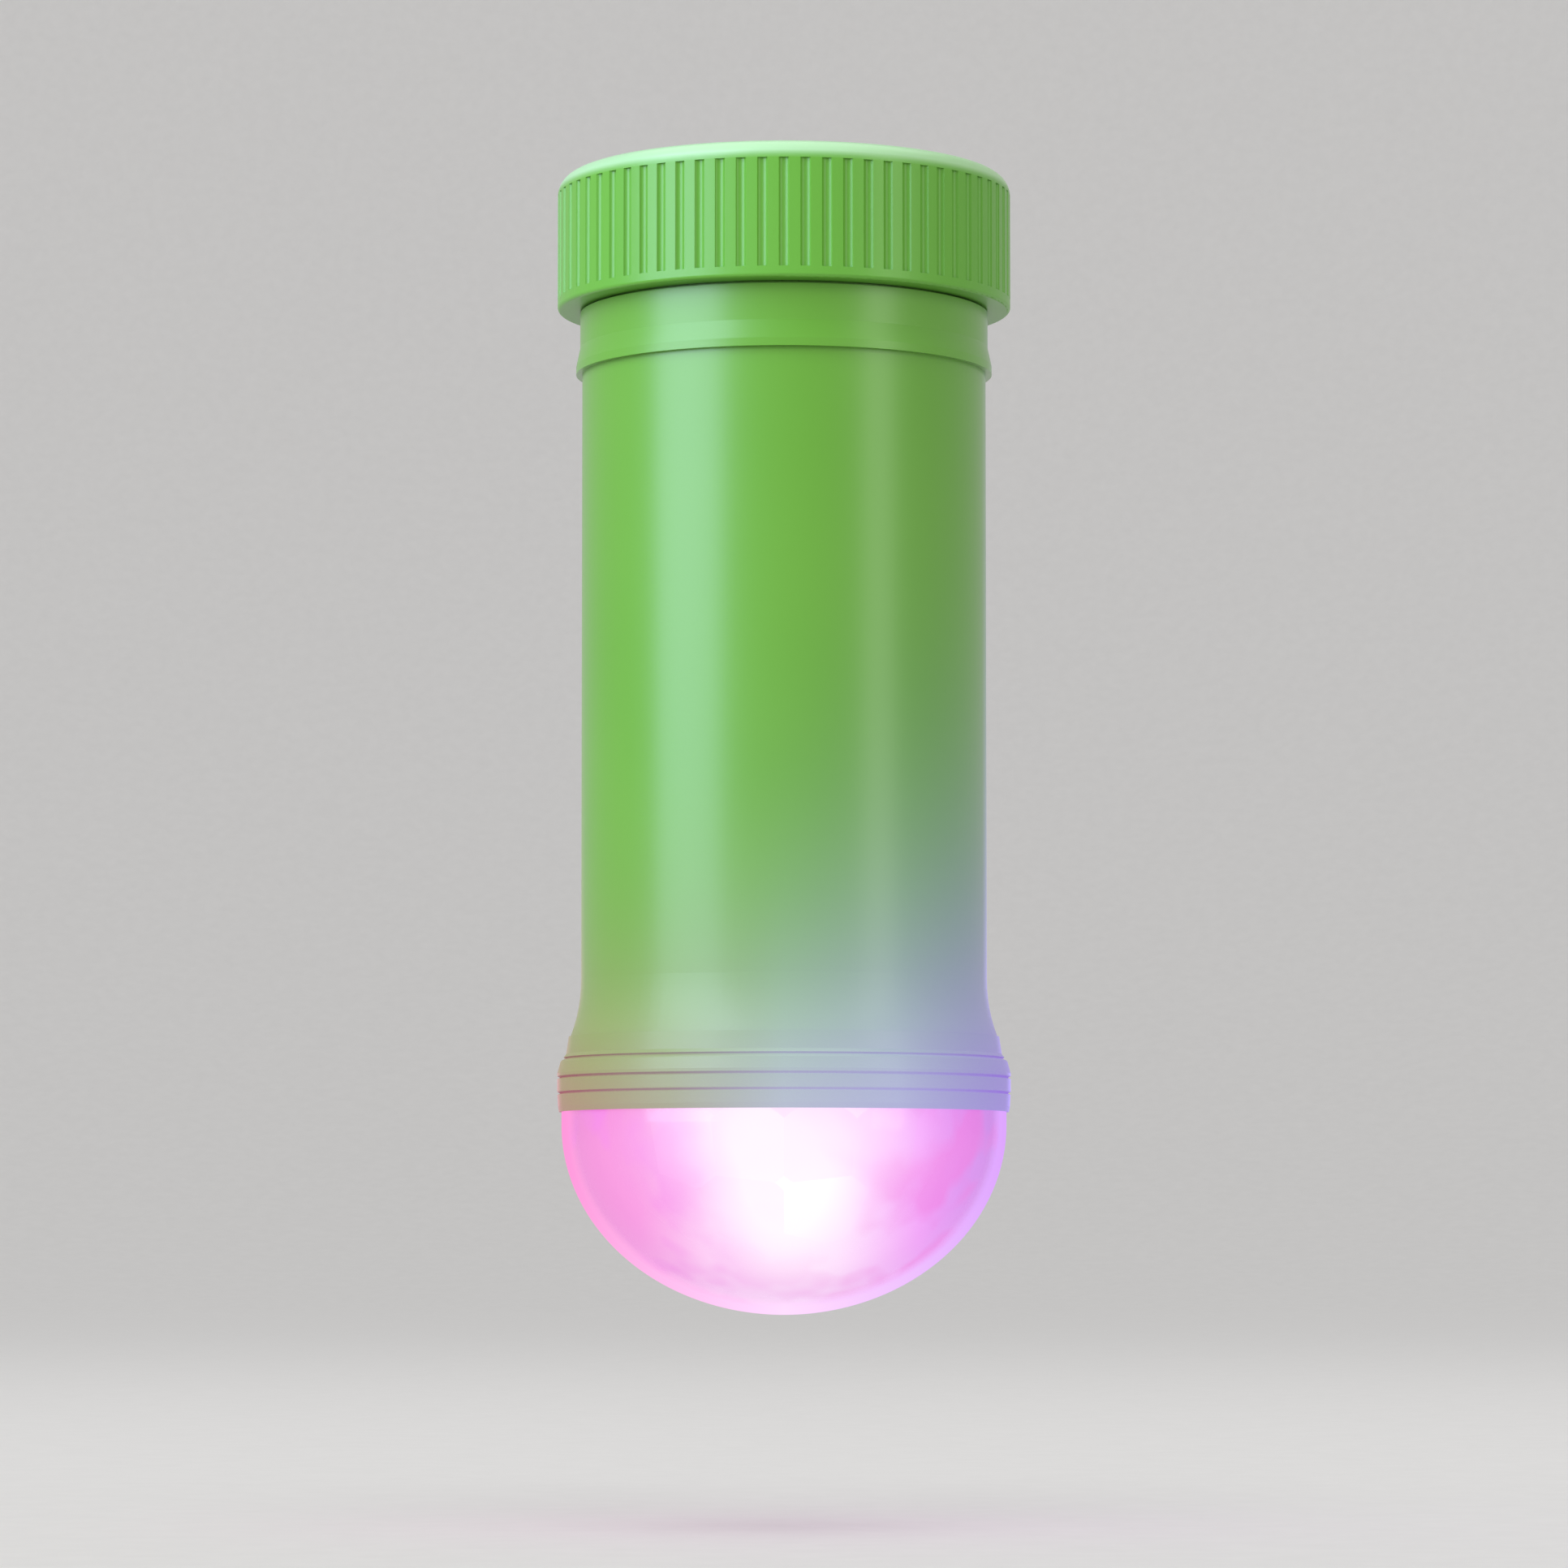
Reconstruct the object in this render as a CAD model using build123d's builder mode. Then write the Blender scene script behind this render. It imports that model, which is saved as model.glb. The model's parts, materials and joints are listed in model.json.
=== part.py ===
from build123d import *
from math import acos, cos, hypot, pi, radians, sin, tan
import os

os.makedirs("parts", exist_ok=True)

# A handlebar light: a hanging cylinder with a screw cap on top and a clear dome below, in which a
# faceted lens is turned by a small motor. All sizes are in millimetres.
# The origin is the centre of the handlebar clamp: X along the bar, Z up, and the light in front at -Y.
# Heights are measured up from just under the dome, and radii from the light's own upright axis.

# Handlebar and where the light hangs from it
BAR_R = 12.7
STANDOFF = 51.0
BAR_LEVEL = 72.0

# Outer case
CAP_TOP = 133.4
TUBE_R = 23.3
TUBE_BORE_R = 21.1
TUBE_FOOT = 29.2
FLARE_R = 24.5
FLARE_TOP = 40.5
SPIGOT_R = 22.0
LIP_R = 24.0
LIP_FOOT = 110.4
LIP_THICK = 0.9
LIP_RISE = 3.0
COLLAR_R = 23.55
COLLAR_TOP = 117.5
NECK_R = 22.6
NECK_TOP = 128.6
MOUTH_CHAMFER = 0.6
BEZEL_TOP = 34.0
BEZEL_MOUTH_R = 24.5
BEZEL_LEDGE_R = 24.95
BEZEL_LEDGE = 26.8
BEZEL_FIT = 0.1

# Outside of the bezel from above its foot to its top, and its grooves, as (radius, height)
BEZEL_OUTSIDE = ((25.9, 26.0), (26.0, 27.8), (26.0, 29.8), (25.65, 31.1), (25.0, 32.0), (24.7, 34.0))
BEZEL_FOOT_R = 25.8
BEZEL_GROOVES = ((26.0, 27.5), (26.0, 29.3), (25.4, 31.5))
BEZEL_GROOVE = 0.35

# Inside of the case: ribs that guide the battery carrier, bosses for the drive's screws
GUIDE_RING_R = 19.5
GUIDE_DEPTH = 3.4
GUIDE_WIDTH = 1.6
GUIDE_LENGTH = 57.0
DRIVE_RING_R = 18.6
BOSS_R = 2.6
BOSS_HEIGHT = 4.8
BOSS_WEB_R = 19.9
DRIVE_SCREW_R = 1.0
DRIVE_SCREW_TOP = 39.0
BOSS_END = 0.4

# Dome: a short straight edge and half an ellipsoid
DOME_EDGE = 25.4
DOME_TIP = 2.2
DOME_STRAIGHT = 1.5
DOME_R = 25.5
DOME_WALL = 1.8
DOME_BORE_R = 23.2
DOME_NECK_R = 24.4
DOME_LEDGE = 26.9
DOME_FLANGE_R = 24.85
DOME_FLANGE_FOOT = 27.2
SEAL_THICK = 1.0
DOME_SEAL_R = 24.7
DOME_SEAL_BORE_R = 21.4

# Screw cap
CAP_R = 26.15
CAP_FOOT = 117.8
CAP_BORE_R = 22.9
CAP_CEILING = 131.2
CAP_EDGE_R = 2.2
CAP_FOOT_EDGE_R = 0.4
RIB_COUNT = 68
RIB_GROOVE_R = 0.65
RIB_DEPTH = 0.36
RIB_FOOT = 119.0
RIB_TOP = 131.2
CAP_SEAL_R = 22.8
CAP_SEAL_FOOT = 118.6
CAP_SEAL_TOP = 120.0
CAP_SEAL_BORE_R = 21.9
CAP_SEAL_PLAY = 0.05
CAP_SEAL_EDGE_R = 0.3

# Button and switch in the cap
BUTTON_R = 6.2
BUTTON_HOLE_R = 6.5
BUTTON_TOP = 133.0
BUTTON_FLANGE_R = 8.0
BUTTON_FOOT = 130.0
BUTTON_TRAVEL = 1.0
BUTTON_PLAY = 0.1
BUTTON_EDGE_R = 0.7
BUTTON_SOCKET_R = 2.4
BUTTON_SOCKET = 0.4
PLUNGER_FOOT = 128.7
DISH_R = 11.0
DISH_DEPTH = 1.0
HOLDER_R = 20.6
HOLDER_BORE_R = 19.0
HOLDER_FOOT = 123.0
HOLDER_LIP_R = 18.5
HOLDER_LEDGE_R = 17.4
HOLDER_LEDGE_FOOT = 125.4
SWITCH_BOARD_FOOT = 126.4
SWITCH_BOARD_TOP = 127.6
SWITCH_TOP = BUTTON_FOOT - BUTTON_TRAVEL - BUTTON_PLAY
SWITCH_SIDE = 8.0
SWITCH_CORNER = 0.6
PLUNGER_R = 1.6
DISC_R = 18.7
DISC_FOOT = 123.9
DISC_TOP = 125.1
DISC_PLAY = 0.1
SHEET = 0.4
RING_CONTACT_R = 18.2
RING_CONTACT_BORE_R = 15.5
CENTRE_CONTACT_R = 3.2
CENTRE_CONTACT_TIP_R = 1.6
CENTRE_CONTACT_RIM = 0.6

# Return spring between the switch board and the button's flange
SPRING_R = 6.8
SPRING_WIRE_R = 0.25
SPRING_PITCH = 0.8
SPRING_HEIGHT = BUTTON_FOOT - SWITCH_BOARD_TOP - 2 * SPRING_WIRE_R

# Faceted lens, turned on the spindle
LENS_R = 21.3
LENS_DEPTH = 19.1
LENS_CENTRE = 25.0
LENS_TOP = 26.8
LENS_BORE_R = 18.3
LENS_BORE_DEPTH = 16.1
FACET_CUT = 0.7
FACET_RINGS = ((27.0, 6), (52.0, 12), (77.0, 16))
LENS_BOSS_R = 2.8
LENS_BOSS_TOP = 24.0
LENS_BOSS_ROOT = 0.6
SPINDLE_R = 1.25
SPINDLE_FOOT = 12.0
SPINDLE_TOP = 40.4

# Light source
REFLECTOR_FOOT = 28.6
BOARD_FOOT = 30.4
BOARD_TOP = 32.0
REFLECTOR_R = 20.9
BOARD_R = 20.8
HUB_HOLE_R = 2.2
SCREW_HOLE_R = 1.1
LED_RING_R = 8.0
LED_R = 2.5
LED_TIP = 22.6
LED_TIP_R = 2.45
LED_RIM = 0.4
LED_RIM_THICK = 1.0
CONE_MOUTH_R = 4.4
CONE_ROOT_R = 3.1
LAMP_HEAD_R = 1.9
LAMP_HEAD = 1.1
SMALL_HEAD_EDGE_R = 0.5

# Gear train: module, pressure angle, profile shift of the small gears, play between the flanks, and how
# far a tooth reaches over and under the pitch circle, in modules
MODULE = 0.4
PRESSURE = radians(20)
SHIFT = 0.4
PLAY = 0.05
TOOTH_OVER_PITCH = 0.9
TOOTH_UNDER_PITCH = 1.25
PINION_TEETH = 10
HALF_TOOTH = 180 / PINION_TEETH
WHEEL_TEETH = 36
OUTPUT_TEETH = 40
GEAR_PLATE_FOOT = 33.6
GEAR_PLATE_TOP = 35.6
OUTPUT_FOOT = 36.0
OUTPUT_TOP = 40.0
OUTPUT_WEB = ((3.2, 6.4), 1.2)
WHEEL_FOOT = 41.0
WHEEL_TOP = 43.4
WHEEL_WEB = ((2.4, 5.4), 0.8)
MOTOR_PINION_FOOT = 40.8
MOTOR_PINION_TOP = 44.6
AXLE_R = 1.0
RUNNING_FIT = 0.05

# Plates that carry the gears and the motor, and what joins them
DRIVE_PLATE_R = 20.9
MOTOR_PLATE_R = 20.2
MOTOR_PLATE_FOOT = 45.0
MOTOR_PLATE_TOP = 47.0
FOOT_R = 2.1
BEARING_R = 2.8
BEARING_GAP = 0.4
POST_RING_R = 17.0
POST_R = 2.0
PLATE_SCREW_R = 0.9
PLATE_SCREW_TIP = 40.6
PLATE_HEAD_R = 1.8
STAY_RING_R = 17.5
STAY_R = 1.8

# Motor
MOTOR_R = 7.75
MOTOR_FLATS = 12.0
MOTOR_TOP = 59.4
MOTOR_EDGE_R = 0.8
MOTOR_NOSE_R = 2.6
MOTOR_NOSE = 0.8
MOTOR_SHAFT_R = 0.75
MOTOR_SHAFT_TOP = 61.6
SHAFT_INSET = 0.2
BELL_INSET = 1.0
BELL_TOP = 61.0
BELL_BOSS_R = 2.2
BELL_BOSS_TOP = 62.0
TERMINAL_REACH = 4.4
TERMINAL = (0.4, 2.0, 1.8)
MOTOR_SCREW_REACH = 5.0
MOTOR_SCREW_R = 0.8
MOTOR_SCREW_TOP = 49.0
MOTOR_HEAD_R = 1.4
MOTOR_HEAD = 0.8
MOTOR_SCREW_PLAY = 0.1

# Battery compartment
BULKHEAD_FOOT = 63.0
BULKHEAD_TOP = 65.0
BULKHEAD_CONTACT_R = 3.4
BULKHEAD_CONTACT_TIP_R = 1.4
BULKHEAD_RIVET_R = 1.2
CARRIER_FOOT = 66.0
CARRIER_TOP = 121.8
CARRIER_R = 17.5
CARRIER_DISC = 2.0
CARRIER_WEDGE = ((8.8, -0.6), (16.6, -4.0), (17.2, 0), (16.6, 4.0), (8.8, 0.6))
CARRIER_BUTTON_R = 3.0
CARRIER_BUTTON = 0.6
CELL_R = 7.1
CELL_EDGE_R = 0.6
CELL_RING_R = 8.4
CELL_LENGTH = 50.5
CELL_NUB_R = 2.75
CELL_NUB = 1.0
CONTACT_R = 4.5
CONTACT_THICK = 0.7
CELL_FOOT = CARRIER_FOOT + CARRIER_DISC + CONTACT_THICK

# Sheet strip up the wall from the lens drive to the cap, and the bent finger at its top
STRIP_TURN = 210
STRIP_WIDTH = 4.0
STRIP_SLOT = (1.8, 5.0)
STRIP_SLOT_R = 21.0
STRIP_RING_R = 20.55
STRIP_FOOT = 61.0
STRIP_TOP = 122.7
FINGER_RING_R = 16.65

# Rail on the light's back and the bracket that takes it
RAIL_FOOT = -24.0
RAIL_TOP = 17.0
SHOE_FOOT = -27.0
SHOE_HALF_WIDTH = 11.0
SHOE_FRONT = 20.0
SHOE_BACK = 27.0
SHOE_EDGE_R = 2.6
SHOE_CHAMFER = 1.2
RAIL_NECK_HALF = 6.0
RAIL_HEAD_HALF = 9.0
RAIL_HEAD_FRONT = 30.2
RAIL_HEAD_BACK = 33.0
RAIL_PLAY = 0.15
CHANNEL_HALF = 12.3
CHANNEL_FRONT = 27.4
CHANNEL_BACK = 36.3
CHANNEL_FOOT = -34.0
FLOOR_FOOT = -27.0
BRACKET_EDGE_R = 2.2
BRACKET_CHAMFER = 0.7
SHOE_SCREW_SPOTS = ((0, -2.0), (0, 12.0))
SHOE_SCREW_R = 1.5
SHOE_HOLE_PLAY = 0.1
SHOE_SCREW_TIP = 28.8
SHOE_HOLE_END = 29.2
SHOE_HEAD_R = 3.1
SHOE_HEAD = 1.3
SHOE_HEAD_SEAT = 20.85

# Release tab and the notch that its tooth holds
NOTCH_FOOT = -21.5
NOTCH_TOP = -18.3
NOTCH_DEPTH = 1.5
TAB_SLOT_TOP = -16.0
TAB_HALF = 4.9
TAB_SLOT_HALF = 5.2
TAB_PIN_R = 0.9
TAB_PIN_Y = 34.8
TAB_PIN_Z = -26.5
TAB_FRONT = 33.5
TAB_BACK = 36.1
TAB_TOP = -17.5
TAB_BEND = -29.0
TAB_HEEL = -31.6
TOOTH_FRONT = 31.7
TOOTH_FOOT = -21.2
TOOTH_TOP = -20.0
TOOTH_RAMP_TOP = -18.4
PAD_FRONT = 36.6
PAD_BACK = 39.5
PAD_TOP = -33.5
PAD_CHIN = -34.6
PAD_FOOT = -39.0
PAD_GROOVES = (-34.9, -36.2, -37.5)
PAD_GROOVE_R = 0.45
PAD_GROOVE_DEPTH = 0.3

# Rounded bends of the tab from the pad's chin round to its foot, as (distance behind the light, Z, radius)
TAB_BENDS = (
    (PAD_FRONT, PAD_CHIN, 2.0),
    (TAB_BACK, TAB_BEND, 4.0),
    (PAD_BACK, PAD_TOP, 3.0),
    (PAD_BACK, PAD_FOOT, 1.2),
    (PAD_FRONT, PAD_FOOT, 0.8),
)

# Coil spring that holds the tab's tooth in the notch
TAB_SPRING_Z = -30.2
TAB_SPRING_R = 1.5
TAB_SPRING_WIRE_R = 0.16
TAB_SPRING_TURNS = 3
SPRING_WALL_BACK = 30.4
SPRING_POCKET = 0.5
SPRING_POCKET_R = 1.8
SPRING_SEAT = SPRING_WALL_BACK - SPRING_POCKET
TAB_SPRING_LENGTH = TAB_FRONT - SPRING_SEAT - 2 * TAB_SPRING_WIRE_R

# Clamp round the bar
LINER_THICK = 1.5
LINER_INSET = 0.5
RING_R = 18.0
CLAMP_HALF = 9.0
SPLIT = 0.75
HINGE_Z = 22.2
KNUCKLE_R = 3.6
KNUCKLE_HALF = 4.3
KNUCKLE_GAP = 0.2
KNUCKLE_ROOM = 0.5
HINGE_PIN_R = 1.5
HINGE_PIN_HEAD_R = 2.5
HINGE_PIN_HEAD = 0.8
HINGE_ROOT = ((9.5, 14.5), (3.3, 23.8), (0, 23.8), (0, 14.5))
BACKING_TOP = 15.0
BACKING_FOOT = -13.0
BACKING_REACH = -7.0
BACKING_HALF = 16.6
EAR_FOOT = -33.0
EAR_TOP = -14.0
EAR_FRONT = -9.0
EAR_BACK = 7.0
EAR_CORNER_R = 3.0
BLEND_R = 2.4
EAR_MEETS_RING = -16.0
HINGE_MEETS_RING = 15.3
RING_CHAMFER = 0.8
SCREW_Z = -26.0
SCREW_R = 2.5
SCREW_TIP = -11.0
SCREW_TIP_CHAMFER = 0.6
SCREW_PLAY = 0.2
WASHER_PLAY = 0.1
NUT_FLATS = 8.0
NUT_THICK = 4.0
WASHER_R = 6.0
WASHER_THICK = 1.2
KNOB_R = 8.0
KNOB_LENGTH = 8.0
KNOB_LOBES = 7
KNOB_LOBE_R = 2.8
KNOB_LOBE_REACH = 1.9
KNOB_LOBE_EDGE_R = 0.8
KNOB_EDGE_R = 0.9
KNOB_SHOULDER = 1.0
KNOB_SHOULDER_R = 5.6
KNOB_DISH_R = 4.1
KNOB_DISH = 0.6
KNOB_FOOT = EAR_BACK + WASHER_THICK
KNOB_END = KNOB_FOOT + KNOB_LENGTH
SCREW_HEAD = KNOB_END - 2.0
JAW_SLOT = 7.2
JAW_SLOT_PLAY = 0.6

MIDDLE = ((0, 0),)
SAME = 0.01
LIGHT_AXIS = Axis((0, -STANDOFF, 0), (0, 0, 1))
UPRIGHT = Plane(origin=(0, -STANDOFF, -BAR_LEVEL), x_dir=(1, 0, 0), z_dir=(0, -1, 0))
RING_BORE_R = BAR_R + LINER_THICK
PINION_TO_WHEEL = MODULE * (PINION_TEETH + WHEEL_TEETH) / 2
PINION_TO_OUTPUT = MODULE * (PINION_TEETH + OUTPUT_TEETH) / 2
MOTOR_Y = PINION_TO_OUTPUT - PINION_TO_WHEEL
MOTOR_SPOT = (0, MOTOR_Y)
MOTOR_SCREW_SPOTS = ((-MOTOR_SCREW_REACH, MOTOR_Y), (MOTOR_SCREW_REACH, MOTOR_Y))
COMPOUND = (0, PINION_TO_OUTPUT)
DOME_MIDDLE = DOME_EDGE - DOME_STRAIGHT
DOME_CEILING = DOME_TIP + DOME_WALL
DOME_NECK_TOP = TUBE_FOOT - SEAL_THICK
PLATE_FRONT = RAIL_HEAD_BACK + RAIL_PLAY
PLATE_Y = PLATE_FRONT - STANDOFF
PLATE_BACK_Y = CHANNEL_BACK - STANDOFF


def level(height):
    """A level plane at a height above the dome's tip, centred on the light's axis."""
    return Plane(origin=(0, -STANDOFF, height - BAR_LEVEL), x_dir=(1, 0, 0), z_dir=(0, 0, 1))


def around(radius, count, start=90.0):
    """Spots spread evenly round the light's axis, as (x, y) pairs."""
    turns = [radians(start + 360 * n / count) for n in range(count)]
    return [(radius * cos(turn), radius * sin(turn)) for turn in turns]


SCREW_SPOTS = around(DRIVE_RING_R, 3)
POST_SPOTS = around(POST_RING_R, 3, 30)
STAY_SPOTS = around(STAY_RING_R, 3)
LED_SPOTS = around(LED_RING_R, 3, 30)
CELL_SPOTS = around(CELL_RING_R, 3)


def turned(*outline, mode=Mode.ADD):
    """Turn a closed outline of (radius, height) points about the light's axis."""
    with BuildSketch(UPRIGHT) as profile:
        with BuildLine():
            Polyline(*outline, close=True)
        make_face()
    revolve(profile.sketch, axis=LIGHT_AXIS, mode=mode)


def pillars(spots, radius, low, high, mode=Mode.ADD):
    """Round pillars or holes at (x, y) spots from the light's axis, between two heights."""
    with BuildSketch(level(low)) as section:
        with Locations(*spots):
            Circle(radius)
    extrude(section.sketch, amount=high - low, mode=mode)


def across(distance):
    """An upright plane a distance behind the light's axis, facing the light; its y is the height Z."""
    return Plane(origin=(0, distance - STANDOFF, 0), x_dir=(1, 0, 0), z_dir=(0, -1, 0))


def round_edges(edges, radius):
    """The edges that are arcs of one radius."""
    return edges.filter_by(GeomType.CIRCLE).filter_by(lambda edge: abs(edge.radius - radius) < SAME)


def rim_edge(edges, radius, which):
    """The lowest (0) or highest (-1) round edge of one radius."""
    return round_edges(edges, radius).sort_by(Axis.Z)[which]


# Outer case

with BuildPart() as body_tube:
    with BuildSketch(UPRIGHT):
        with BuildLine():
            Polyline(
                (FLARE_R, BEZEL_TOP),
                (SPIGOT_R, BEZEL_TOP),
                (SPIGOT_R, TUBE_FOOT),
                (TUBE_BORE_R, TUBE_FOOT),
                (TUBE_BORE_R, NECK_TOP),
                (NECK_R, NECK_TOP),
                (NECK_R, COLLAR_TOP),
                (COLLAR_R, COLLAR_TOP),
                (COLLAR_R, LIP_FOOT + LIP_RISE),
                (LIP_R, LIP_FOOT + LIP_THICK),
                (LIP_R, LIP_FOOT),
                (TUBE_R, LIP_FOOT),
                (TUBE_R, FLARE_TOP),
            )
            TangentArc((TUBE_R, FLARE_TOP), (FLARE_R, BEZEL_TOP), tangent=(0, -1))
        make_face()
    revolve(axis=LIGHT_AXIS)
    # Groove for the cap's seal, and the lead-in at the mouth
    turned(
        (CAP_SEAL_BORE_R, CAP_SEAL_FOOT),
        (COLLAR_R, CAP_SEAL_FOOT),
        (COLLAR_R, CAP_SEAL_TOP),
        (CAP_SEAL_BORE_R, CAP_SEAL_TOP),
        mode=Mode.SUBTRACT,
    )
    chamfer(rim_edge(body_tube.edges(), NECK_R, -1), length=MOUTH_CHAMFER)
    # Three ribs that guide the battery carrier, and three bosses that take the lens drive's screws
    with BuildSketch(level(BULKHEAD_TOP)):
        with PolarLocations(GUIDE_RING_R, 3, start_angle=30):
            Rectangle(GUIDE_DEPTH, GUIDE_WIDTH)
    extrude(amount=GUIDE_LENGTH)
    with BuildSketch(level(GEAR_PLATE_TOP)):
        with PolarLocations(DRIVE_RING_R, 3, start_angle=90):
            Circle(BOSS_R)
        with PolarLocations(BOSS_WEB_R, 3, start_angle=90):
            Rectangle(BOSS_R, 2 * BOSS_R)
    extrude(amount=BOSS_HEIGHT)
    pillars(SCREW_SPOTS, DRIVE_SCREW_R, GEAR_PLATE_TOP, DRIVE_SCREW_TOP + BOSS_END, mode=Mode.SUBTRACT)
    # Holes for the two screws of the shoe
    with BuildSketch(across(FLARE_R)):
        with Locations(*SHOE_SCREW_SPOTS):
            Circle(SHOE_SCREW_R + SHOE_HOLE_PLAY)
    extrude(amount=FLARE_R - SHOE_FRONT, mode=Mode.SUBTRACT)
body_tube.part.label = "body_tube"
export_step(body_tube.part, "parts/body_tube.step")

with BuildPart() as bezel_ring:
    turned(
        (BEZEL_MOUTH_R, DOME_EDGE),
        (BEZEL_FOOT_R, DOME_EDGE),
        *BEZEL_OUTSIDE,
        (SPIGOT_R + BEZEL_FIT, BEZEL_TOP),
        (SPIGOT_R + BEZEL_FIT, TUBE_FOOT),
        (BEZEL_LEDGE_R, TUBE_FOOT),
        (BEZEL_LEDGE_R, BEZEL_LEDGE),
        (BEZEL_MOUTH_R, BEZEL_LEDGE),
    )
    # Three fine grooves round the flare
    for radius, groove in BEZEL_GROOVES:
        turned(
            (radius - BEZEL_GROOVE, groove),
            (radius + BEZEL_GROOVE, groove - BEZEL_GROOVE),
            (radius + BEZEL_GROOVE, groove + BEZEL_GROOVE),
            mode=Mode.SUBTRACT,
        )
bezel_ring.part.label = "bezel_ring"
export_step(bezel_ring.part, "parts/bezel_ring.step")

with BuildPart() as clear_dome:
    with BuildSketch(UPRIGHT):
        with BuildLine():
            EllipticalCenterArc(
                (0, DOME_MIDDLE), DOME_R, DOME_MIDDLE - DOME_TIP, start_angle=270, arc_size=90
            )
            Polyline(
                (DOME_R, DOME_MIDDLE),
                (DOME_R, DOME_EDGE),
                (DOME_NECK_R, DOME_EDGE),
                (DOME_NECK_R, DOME_LEDGE),
                (DOME_FLANGE_R, DOME_FLANGE_FOOT),
                (DOME_FLANGE_R, DOME_NECK_TOP),
                (DOME_BORE_R, DOME_NECK_TOP),
                (DOME_BORE_R, DOME_MIDDLE),
            )
            EllipticalCenterArc(
                (0, DOME_MIDDLE), DOME_BORE_R, DOME_MIDDLE - DOME_CEILING, start_angle=270, arc_size=90
            )
            Line((0, DOME_TIP), (0, DOME_CEILING))
        make_face()
    revolve(axis=LIGHT_AXIS)
clear_dome.part.label = "clear_dome"
export_step(clear_dome.part, "parts/clear_dome.step")

with BuildPart() as dome_seal:
    turned(
        (DOME_SEAL_BORE_R, DOME_NECK_TOP),
        (DOME_SEAL_R, DOME_NECK_TOP),
        (DOME_SEAL_R, TUBE_FOOT),
        (DOME_SEAL_BORE_R, TUBE_FOOT),
    )
dome_seal.part.label = "dome_seal"
export_step(dome_seal.part, "parts/dome_seal.step")

with BuildPart() as cap_seal:
    turned(
        (CAP_SEAL_BORE_R, CAP_SEAL_FOOT + CAP_SEAL_PLAY),
        (CAP_SEAL_R, CAP_SEAL_FOOT + CAP_SEAL_PLAY),
        (CAP_SEAL_R, CAP_SEAL_TOP - CAP_SEAL_PLAY),
        (CAP_SEAL_BORE_R, CAP_SEAL_TOP - CAP_SEAL_PLAY),
    )
    outer_edges = [rim_edge(cap_seal.edges(), CAP_SEAL_R, 0), rim_edge(cap_seal.edges(), CAP_SEAL_R, -1)]
    fillet(outer_edges, radius=CAP_SEAL_EDGE_R)
cap_seal.part.label = "cap_seal"
export_step(cap_seal.part, "parts/cap_seal.step")

# Screw cap with its button and switch

with BuildPart() as screw_cap:
    turned(
        (CAP_BORE_R, CAP_FOOT),
        (CAP_R, CAP_FOOT),
        (CAP_R, CAP_TOP),
        (DISH_R, CAP_TOP),
        (DISH_R - DISH_DEPTH, CAP_TOP - DISH_DEPTH),
        (BUTTON_HOLE_R, CAP_TOP - DISH_DEPTH),
        (BUTTON_HOLE_R, CAP_CEILING),
        (CAP_BORE_R, CAP_CEILING),
    )
    fillet(rim_edge(screw_cap.edges(), CAP_R, -1), radius=CAP_EDGE_R)
    fillet(rim_edge(screw_cap.edges(), CAP_R, 0), radius=CAP_FOOT_EDGE_R)
    # Gripping ribs: grooves that stop short of the foot's bead and of the rounded top edge
    with BuildSketch(level(RIB_FOOT)):
        with PolarLocations(CAP_R + RIB_GROOVE_R - RIB_DEPTH, RIB_COUNT):
            Circle(RIB_GROOVE_R)
    extrude(amount=RIB_TOP - RIB_FOOT, mode=Mode.SUBTRACT)
screw_cap.part.label = "screw_cap"
export_step(screw_cap.part, "parts/screw_cap.step")

with BuildPart() as cap_button:
    turned(
        (0, BUTTON_FOOT + BUTTON_SOCKET),
        (BUTTON_SOCKET_R, BUTTON_FOOT + BUTTON_SOCKET),
        (BUTTON_SOCKET_R, BUTTON_FOOT),
        (BUTTON_FLANGE_R, BUTTON_FOOT),
        (BUTTON_FLANGE_R, CAP_CEILING - BUTTON_PLAY),
        (BUTTON_R, CAP_CEILING - BUTTON_PLAY),
        (BUTTON_R, BUTTON_TOP),
        (0, BUTTON_TOP),
    )
    fillet(rim_edge(cap_button.edges(), BUTTON_R, -1), radius=BUTTON_EDGE_R)
cap_button.part.label = "cap_button"
export_step(cap_button.part, "parts/cap_button.step")

with BuildPart() as switch_plunger:
    pillars(MIDDLE, PLUNGER_R, PLUNGER_FOOT, BUTTON_FOOT + BUTTON_SOCKET)
switch_plunger.part.label = "switch_plunger"
export_step(switch_plunger.part, "parts/switch_plunger.step")

with BuildPart() as switch_housing:
    with BuildSketch(level(SWITCH_BOARD_TOP)):
        Rectangle(SWITCH_SIDE, SWITCH_SIDE)
    extrude(amount=SWITCH_TOP - SWITCH_BOARD_TOP)
    pillars(MIDDLE, PLUNGER_R + BUTTON_PLAY, SWITCH_BOARD_TOP, SWITCH_TOP, mode=Mode.SUBTRACT)
    chamfer(switch_housing.edges().filter_by(Axis.Z), length=SWITCH_CORNER)
switch_housing.part.label = "switch_housing"
export_step(switch_housing.part, "parts/switch_housing.step")

# The button's spring is one unbroken wire
with BuildPart() as button_spring:
    with BuildLine(level(SWITCH_BOARD_TOP + SPRING_WIRE_R)):
        coil = Helix(pitch=SPRING_PITCH, height=SPRING_HEIGHT, radius=SPRING_R)
    with BuildSketch(Plane(origin=coil @ 0, z_dir=coil % 0)):
        Circle(SPRING_WIRE_R)
    sweep(path=coil.edge(), is_frenet=True)
button_spring.part.label = "button_spring"
export_step(button_spring.part, "parts/button_spring.step")

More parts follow.
